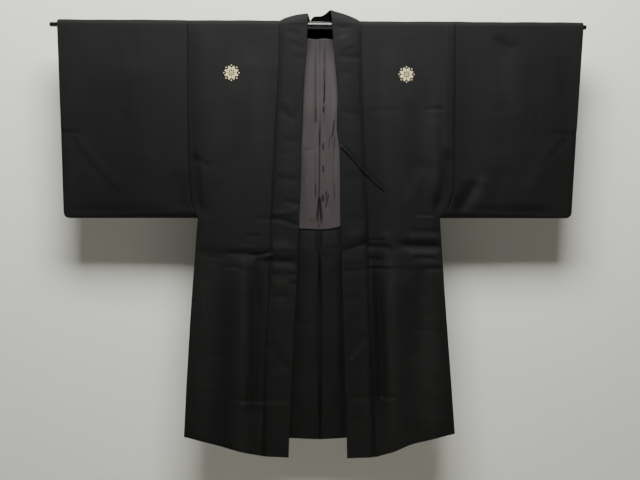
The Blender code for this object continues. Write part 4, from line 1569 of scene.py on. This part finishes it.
def facing_sheet(side):
    """The facing's points, thickness and tone. Its top goes up behind the lining's lower edge."""
    x, z = inside_places(
        side,
        lambda x: column(BACK_HEM, side, "x", np.abs(x)) + FACING_SHORT,
        np.linspace(0, 1, FACING_ROWS),
        lambda x: lining_low(x) + FACING_UNDER,
    )
    marks = relief(FACING_CREASES, x, z) - FACING_SEAM * inside_seam(x, z)
    under_lining = smooth((z - lining_low(x) + UNDER_EASE) / UNDER_EASE)
    behind, thick = centre_lap(side, x, z)
    y = inside_y(x, z) - INSIDE_CLEAR - (FACING_SLACK + marks) * (1 - under_lining) + behind
    return place(x, y, z), thick, np.exp(relief(FACING_SHADES, x, z))


# %% Make the lining and the facing
Inside = namedtuple("Inside", "name sheet finish slot cut")
INSIDES = (
    Inside("lining", lining_sheet, lining_silk, "lining_mauve", (0.28, 0.455)),
    Inside("facing", facing_sheet, haori_silk, "silk_black", (0.275, 0.50)),
)

for side in SIDES:
    for inside in INSIDES:
        points, thickness, tone = inside.sheet(side)
        name = f"{inside.name}_{side}"
        made = cloth_wall(f"silk_{name}", points, thickness, inside.finish, tone)
        dress(made, name)

# %% [markdown]
# ## The collar
# The collar is one long strip, folded in half along its length and turned outwards, so its inner
# edge is a soft roll and its outer edge lies on the panel beside the seam. It starts at one front
# hem, climbs over the rod, stands up round the back of the neck and runs down to the other hem.
# A table gives the sections round the neck, and a Catmull-Rom curve through them keeps the turn
# smooth, which a chain of straight sections would not be.

# %% Sections of the collar
Turn = namedtuple("Turn", "turn seam_x fold_x fold_y fold_z arch")
COLLAR_TURN = (
    Turn(20, -94, -28.0, -11.2, 6.0, 0.5),
    Turn(50, -94, -27.5, -10.0, 17.0, 1.5),
    Turn(75, -94, -27.0, -4.5, 25.5, 3.0),
    Turn(90, -94, -27.0, 0.0, 27.0, 4.0),
    Turn(115, -94, -25.5, 5.0, 23.0, 3.5),
    Turn(145, -94, -23.0, 9.5, 16.0, 2.5),
    Turn(170, -94, -20.5, 12.5, 11.0, 2.0),
    Turn(180, -94, -18.5, 14.5, 9.0, 1.5),
    Turn(180, -88, -16.5, 15.8, 11.0, 1.0),
    Turn(180, -80, -15.3, 16.6, 16.0, 0.5),
    Turn(180, -70, -14.6, 17.2, 23.0, 0.0),
    Turn(180, -50, -12.0, 17.8, 26.5, 0.0),
    Turn(180, -25, -5.0, 18.0, 27.0, 0.0),
    Turn(180, 0, 2.5, 18.0, 27.5, 0.0),
    Turn(180, 25, 8.5, 17.8, 29.5, 0.0),
    Turn(180, 50, 14.0, 17.0, 33.0, 0.0),
    Turn(180, 70, 18.0, 15.8, 36.5, 0.0),
    Turn(180, 80, 20.5, 14.5, 38.5, 0.5),
    Turn(180, 88, 22.5, 13.0, 39.5, 0.8),
    Turn(180, 94, 23.6, 11.5, 39.8, 1.0),
    Turn(170, 94, 24.0, 9.5, 39.5, 1.5),
    Turn(145, 94, 24.2, 6.5, 38.5, 2.0),
    Turn(115, 94, 24.5, 3.5, 37.0, 2.5),
    Turn(90, 94, 25.0, 0.0, 35.0, 3.0),
    Turn(75, 94, 25.2, -4.5, 31.0, 2.5),
    Turn(50, 94, 26.0, -10.0, 20.0, 1.5),
    Turn(20, 94, 27.0, -11.3, 7.0, 0.5),
)
COLLAR_ACROSS = np.concatenate(
    [
        (0.0, 0.005, 0.012, 0.022, 0.035, 0.05, 0.066, 0.083, 0.1, 0.12, 0.14),
        np.linspace(0.17, 0.9, 18),
        (0.93, 0.955, 0.975, 0.99, 1.0),
    ]
)


# %% The collar down a front
COLLAR_PILLOW = 0.5
COLLAR_EDGE = 0.9
COLLAR_EDGE_OUT = 0.1
COLLAR_LAP = 0.066


def full_collar(across):
    """0 on the thin edge that laps over the panel's tongue, 1 further in."""
    return smooth((across - COLLAR_LAP) / COLLAR_LAP)


def collar_front(side):
    """The collar down one front, from the rod to the hem: between its seam and its fold it lies
    on the front surface and swells by half a sine wave."""
    seam_low = line(side, "seam", FRONT_HEM[0].left)
    fold_low = line(side, "fold", FRONT_HEM[0].left)
    across = COLLAR_ACROSS
    hem = column(FRONT_HEM, side, "x", seam_low + across * (fold_low - seam_low))
    z = FRONT_SHARES[:, None] * hem[None, :]
    x = SIDES[side] * blend(line(side, "seam", z), line(side, "fold", z), across)
    swell = COLLAR_PILLOW * np.sin(math.pi * across) * smooth(-z / 40)
    swell = swell + COLLAR_EDGE_OUT * (1 - full_collar(across)) * smooth(-z / 20)
    return place(x, front_y(x, z) - (COLLAR_CLOTH - CLOTH) / 2 - swell, z)


# %% The collar round the neck
NECK_LAP = 1.8
NECK_CLEAR = 0.08
EDGE_ROUND = 0.012
ROLL_ROUND = 0.035
ROLL_FULLER = 0.35
THINNEST = 0.35


def collar_section(row):
    """One section round the neck: a straight line from seam to fold, arched outwards. Behind the
    neck its edge laps over the edge of the back."""
    angle = math.radians(row.turn)
    out = np.array([0, -math.cos(angle), math.sin(angle)])
    radius = OVER_ROD + (COLLAR_CLOTH - CLOTH) / 2
    sign = math.copysign(1, row.seam_x)
    seam = np.array([row.seam_x - sign * SEAM_GAP, *(radius * out[1:])])
    if row.turn == 180:
        lean = max(abs(row.seam_x) - NECK_CORNER_X, 0) / (NECK_HALF - NECK_CORNER_X)
        lap = NECK_LAP * (1 - 0.7 * lean**4)
        seam[0] = row.seam_x + sign * lap * lean
        seam[2] = neck_z(row.seam_x) - lap * math.sqrt(1 - lean**2)
        seam[1] = back_y(seam[0], seam[2]) + (CLOTH + COLLAR_EDGE) / 2 + NECK_CLEAR
    fold = np.array([row.fold_x, row.fold_y, row.fold_z])
    across = COLLAR_ACROSS[:, None]
    return blend(seam, fold, across) + 4 * across * (1 - across) * row.arch * out


def smooth_rows(rows, steps):
    """Catmull-Rom: between rows b and c, with neighbours a and d, the cubic
    b + t (c - a)/2 + t^2 (a - 5b/2 + 2c - d/2) + t^3 (3(b - c) + d - a)/2."""
    before, start, end, after = rows[:-3], rows[1:-2], rows[2:-1], rows[3:]
    made = []
    for step in range(steps):
        t = step / steps
        slope = t * (end - before) / 2
        square = t**2 * (before - 2.5 * start + 2 * end - 0.5 * after)
        cube = t**3 * (3 * (start - end) + after - before) / 2
        made.append(start + slope + square + cube)
    return np.stack(made, axis=1).reshape(-1, *rows.shape[1:])


def collar_thickness(across):
    """Thin at the outer edge, full over the middle and round at the roll of the inner fold."""
    body = COLLAR_EDGE + (COLLAR_CLOTH - COLLAR_EDGE) * full_collar(across)
    edge = np.sqrt(1 - np.clip(1 - across / EDGE_ROUND, 0, 1) ** 2)
    roll = np.sqrt(1 - np.clip(1 - (1 - across) / ROLL_ROUND, 0, 1) ** 2)
    fuller = 1 + ROLL_FULLER * smooth((across - 0.8) / 0.15)
    return np.maximum(body * edge * roll * fuller, THINNEST)


# %% Make the collar
TURN_STEPS = 5

left_front = collar_front("left")
right_front = collar_front("right")
sections = np.stack([collar_section(row) for row in COLLAR_TURN])
turned = np.concatenate([left_front[1::-1], sections, right_front[:2]])
round_neck = smooth_rows(turned, TURN_STEPS)
collar_sheet = np.concatenate([left_front[:0:-1], round_neck, right_front])
thickness = np.broadcast_to(collar_thickness(COLLAR_ACROSS), collar_sheet.shape[:2])
tone = front_tone(collar_sheet[..., 0], collar_sheet[..., 2])
collar = cloth_wall("silk_collar", collar_sheet, thickness, haori_silk, tone)
dress(collar, "collar")

# %% Painted shadow inside the neck: the collar's inner faces behind the rod get a near-black copy of the silk
NECK_SHADOW_Y = 9.5

centres = np.zeros(3 * len(collar.data.polygons))
leans = np.zeros(3 * len(collar.data.polygons))
collar.data.polygons.foreach_get("center", centres)
collar.data.polygons.foreach_get("normal", leans)
shadowed = (centres[1::3] > NECK_SHADOW_Y * MM) & (leans[1::3] < 0)
collar.data.materials.append(neck_shadow_silk)
collar.data.polygons.foreach_set("material_index", shadowed.astype(np.int32))
print("unrubbed faces of the collar:", int(shadowed.sum()))

# %% [markdown]
# ## The tie cord
# A haori closes with a flat braided cord on each front, hooked into a small loop at the collar's
# inner edge. One is here: a short flat braid that lies slanting over the collar and the panel,
# with a thin tapered end. It is a tube with a flat oval section, carried along its route, and
# two waves that run opposite ways round it raise the plait.

# %% The cord's route and section
TieStep = namedtuple("TieStep", "x z")
TIE_ROUTE = (
    TieStep(0.0470, -0.2790),
    TieStep(0.0620, -0.2950),
    TieStep(0.0780, -0.3125),
    TieStep(0.0935, -0.3310),
    TieStep(0.1110, -0.3490),
    TieStep(0.1290, -0.3660),
    TieStep(0.1475, -0.3835),
)
TIE_WIDTH = 4.8
TIE_THICK = 2.2
TIE_STEP_DOWN = 9.0
TIE_RINGS = 260
TIE_SIDES = 24
PLAIT_PITCH = 3.4
PLAIT_RELIEF = 0.16
TIP_LENGTH = 16.0
TIP_THIN = 0.3


def tie_line():
    """The cord's centre line in millimetres: on the collar first, then a step down to the panel."""
    given = np.array([(step.x, step.z) for step in TIE_ROUTE]) / MM
    padded = np.concatenate([2 * given[:1] - given[1:2], given, 2 * given[-1:] - given[-2:-1]])
    points = np.concatenate([smooth_rows(padded, 8), given[-1:]])
    x, z = points.T
    on_collar = 1 - smooth((x - line("right", "seam", z) - 1) / TIE_STEP_DOWN)
    collar_top = COLLAR_CLOTH / 2 + (COLLAR_CLOTH - CLOTH) / 2 + COLLAR_PILLOW
    top = CLOTH / 2 + on_collar * (collar_top - CLOTH / 2)
    return place(x, front_y(x, z) - top - TIE_THICK / 2 - SEAM_GAP, z)


def tie_surface(centre):
    """The plait: at angle a and distance s, a flat oval raised by |sin| of two crossing waves."""
    steps = np.linalg.norm(np.diff(centre, axis=0), axis=1)
    reached = np.concatenate([[0], np.cumsum(steps)])
    s = np.linspace(0, reached[-1], TIE_RINGS)
    middle = np.stack([np.interp(s, reached, centre[:, axis]) for axis in range(3)], axis=1)
    along = np.gradient(middle, s, axis=0)
    along /= np.linalg.norm(along, axis=1, keepdims=True)
    out = np.array([0.0, -1.0, 0.0])
    across = np.cross(along, out)
    across /= np.linalg.norm(across, axis=1, keepdims=True)
    up = np.cross(across, along)
    angle = np.linspace(0, 2 * math.pi, TIE_SIDES, endpoint=False)[None, :]
    turn = 2 * math.pi * s[:, None] / PLAIT_PITCH
    waves = np.abs(np.sin(turn / 2 + 2 * angle)) + np.abs(np.sin(turn / 2 - 2 * angle))
    tip = TIP_THIN + (1 - TIP_THIN) * smooth((s[-1] - s) / TIP_LENGTH)
    taper = np.minimum(smooth(s / 2.5 + 0.25), tip)[:, None]
    wide, thick = (
        (size / 2 - PLAIT_RELIEF + PLAIT_RELIEF * waves / 2) * taper
        for size in (TIE_WIDTH, TIE_THICK)
    )
    rim = wide[..., None] * np.cos(angle)[..., None] * across[:, None, :]
    rise = thick[..., None] * np.sin(angle)[..., None] * up[:, None, :]
    return middle[:, None, :] + rim + rise, middle


# %% The braid's finish
BRAID_DARK = (0.0020, 0.0020, 0.0020)
BRAID_LIGHT = (0.0060, 0.0060, 0.0058)


def braid_finish():
    """Tightly plaited black silk: smoother than the cloth, with a brighter edge on each plait."""
    finish, tree, shader = new_finish("braid_silk", {"Specular IOR Level": 0.35})
    strands = noise(tree, 900.0, 2.0)
    dyed = ramp_between(tree, strands, (0.35, BRAID_DARK), (0.7, BRAID_LIGHT))
    join(tree, dyed, shader.inputs["Base Color"])
    join(tree, scaled(tree, strands, 0.2, 0.26), shader.inputs["Roughness"])
    add_bump(tree, shader, strands, 0.4, 0.1)
    return finish


# %% Make the cord
def tube_faces(rings, sides):
    """Quads of a tube from ring to ring, and one face over each end."""
    ring = np.arange(rings - 1)[:, None] * sides
    spot = np.arange(sides)[None, :]
    after = (spot + 1) % sides
    corners = (ring + spot, ring + after, ring + after + sides, ring + spot + sides)
    walls = np.stack(corners, axis=-1)
    first = list(range(sides))
    last = [(rings - 1) * sides + spot for spot in first]
    return walls.reshape(-1, 4).tolist() + [first[::-1], last]


surface, tie_middle = tie_surface(tie_line())
faces = tube_faces(TIE_RINGS, TIE_SIDES)
tie = add_mesh("tie", surface.reshape(-1, 3), faces, braid_finish())
dress(tie, "tie_cord")
print("tie length:", round(float(np.linalg.norm(np.diff(tie_middle, axis=0), axis=1).sum()), 1))

# %% [markdown]
# ## The crests
# A formal coat carries five small round crests, left pale when the silk is dyed: two on the
# chest, one below the collar at the back and one on the back of each sleeve. Here each place
# holds a plain rosette of eight leaves round a ring, with a dot between the leaf tips. Each
# figure is a patch on a polar grid, laid on the cloth's own surface and raised a sixth of a
# millimetre so that it covers the silk.

# %% The rosette
LEAVES = 8
LEAF_INNER = 5.6
LEAF_OUTER = 17.4
LEAF_HALF_WIDTH = 3.9
RING_INNER = 2.7
RING_OUTER = 4.5
DOT_RADIUS = 1.5
HEART_RADIUS = 1.4
DOT_AT = 17.4
CREST_RISE = 0.16


def leaf(turn):
    """A leaf from the inner to the outer radius, as wide as sin(pi u^0.8) along its length."""
    u = np.linspace(0, 1, 25)[:, None]
    v = np.linspace(-1, 1, 7)[None, :]
    along = LEAF_INNER + u * (LEAF_OUTER - LEAF_INNER)
    side_step = v * LEAF_HALF_WIDTH * np.sin(math.pi * u**0.8)
    return (
        along * math.cos(turn) - side_step * math.sin(turn),
        along * math.sin(turn) + side_step * math.cos(turn),
    )


def disc(centre_a, centre_b, inner, outer, segments=40):
    """A flat ring, or a dot where inner is 0."""
    radius = np.linspace(inner, outer, 3)[:, None]
    turn = np.linspace(0, 2 * math.pi, segments + 1)[None, :]
    return centre_a + radius * np.cos(turn), centre_b + radius * np.sin(turn)


def rosette():
    """All the patches of one crest: leaves, ring, heart and dots."""
    patches = [disc(0, 0, RING_INNER, RING_OUTER), disc(0, 0, 0, HEART_RADIUS, 24)]
    for number in range(LEAVES):
        turn = 2 * math.pi * number / LEAVES + math.pi / LEAVES
        patches.append(leaf(turn))
        midway = turn + math.pi / LEAVES
        dot_a = DOT_AT * math.cos(midway)
        dot_b = DOT_AT * math.sin(midway)
        patches.append(disc(dot_a, dot_b, 0, DOT_RADIUS, 20))
    return patches


# %% The crests' finish
CREAM_DARK = (0.48, 0.405, 0.215)
CREAM_LIGHT = (0.63, 0.555, 0.335)


def crest_finish():
    """Undyed silk: warm cream, matt, with the same weave as the cloth round it."""
    finish, tree, shader = new_finish("crest_cream", {"Sheen Weight": 0.1})
    threads = use_group(tree, weave, "Threads per Metre", SILKS["haori_silk"].threads)
    streaks = threads.outputs["Streaks"]
    cream = ramp_between(tree, streaks, (0.25, CREAM_DARK), (0.75, CREAM_LIGHT))
    join(tree, cream, shader.inputs["Base Color"])
    join(tree, scaled(tree, streaks, 0.2, 0.6), shader.inputs["Roughness"])
    add_bump(tree, shader, threads.outputs["Height"], 0.5, 0.1)
    return finish


# %% Make the crests
Crest = namedtuple("Crest", "name x z face")
CRESTS = (
    Crest("crest_chest_left", -204.0, -112.0, "front"),
    Crest("crest_chest_right", 199.5, -114.0, "front"),
    Crest("crest_back", 0.0, -104.0, "back"),
    Crest("crest_sleeve_left", -455.0, -98.0, "back"),
    Crest("crest_sleeve_right", 458.0, -98.0, "back"),
)
FACES = {"front": (-1, front_y), "back": (1, back_y)}
cream = crest_finish()
for crest in CRESTS:
    out, surface_y = FACES[crest.face]
    points, quads, first = [], [], 0
    for a, b in rosette():
        x = crest.x - out * a
        z = crest.z + b
        y = surface_y(x, z) + out * (CLOTH / 2 + CREST_RISE)
        points.append(place(x, y, z).reshape(-1, 3))
        quads.append(grid_quads(*a.shape) + first)
        first += a.size
    quads = np.concatenate(quads)
    points = np.concatenate(points)
    normal_y = sheet_normals(points, quads)[:, 1].mean()
    if normal_y * out < 0:
        quads = quads[:, ::-1]
    made = add_mesh(crest.name, points, quads.tolist(), cream)
    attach(made, "root")
print("crests:", len(CRESTS))

# %% [markdown]
# ## The rod
# The rod is a steel tube in gloss black paint, and its solid already has the right shape, so it
# keeps its mesh and gets a better finish: a clear coat over black, with a slight unevenness and
# a little dust that dulls the gloss.


# %% The rod's paint
PAINT_CLEAN = (0.006, 0.006, 0.0065)
PAINT_DUSTY = (0.03, 0.03, 0.029)


def rod_finish():
    """A clear coat over black paint. Dust greys the paint and dulls the coat."""
    gloss = {"Coat Roughness": 0.08, "Specular IOR Level": 0.3}
    finish, tree, shader = new_finish("rod_gloss_black", gloss)
    dust = noise(tree, 60.0, 5.0)
    paint = ramp_between(tree, dust, (0.45, PAINT_CLEAN), (0.85, PAINT_DUSTY))
    join(tree, paint, shader.inputs["Base Color"])
    join(tree, scaled(tree, dust, 0.25, 0.12), shader.inputs["Roughness"])
    join(tree, scaled(tree, dust, -0.4, 0.8), shader.inputs["Coat Weight"])
    add_bump(tree, shader, noise(tree, 420.0, 1.0), 0.15, 0.05)
    return finish


rod = bpy.data.objects["rod"]
rod_paint = rod_finish()
for slot in rod.material_slots:
    slot.material = rod_paint
print("rod slots:", len(rod.material_slots))
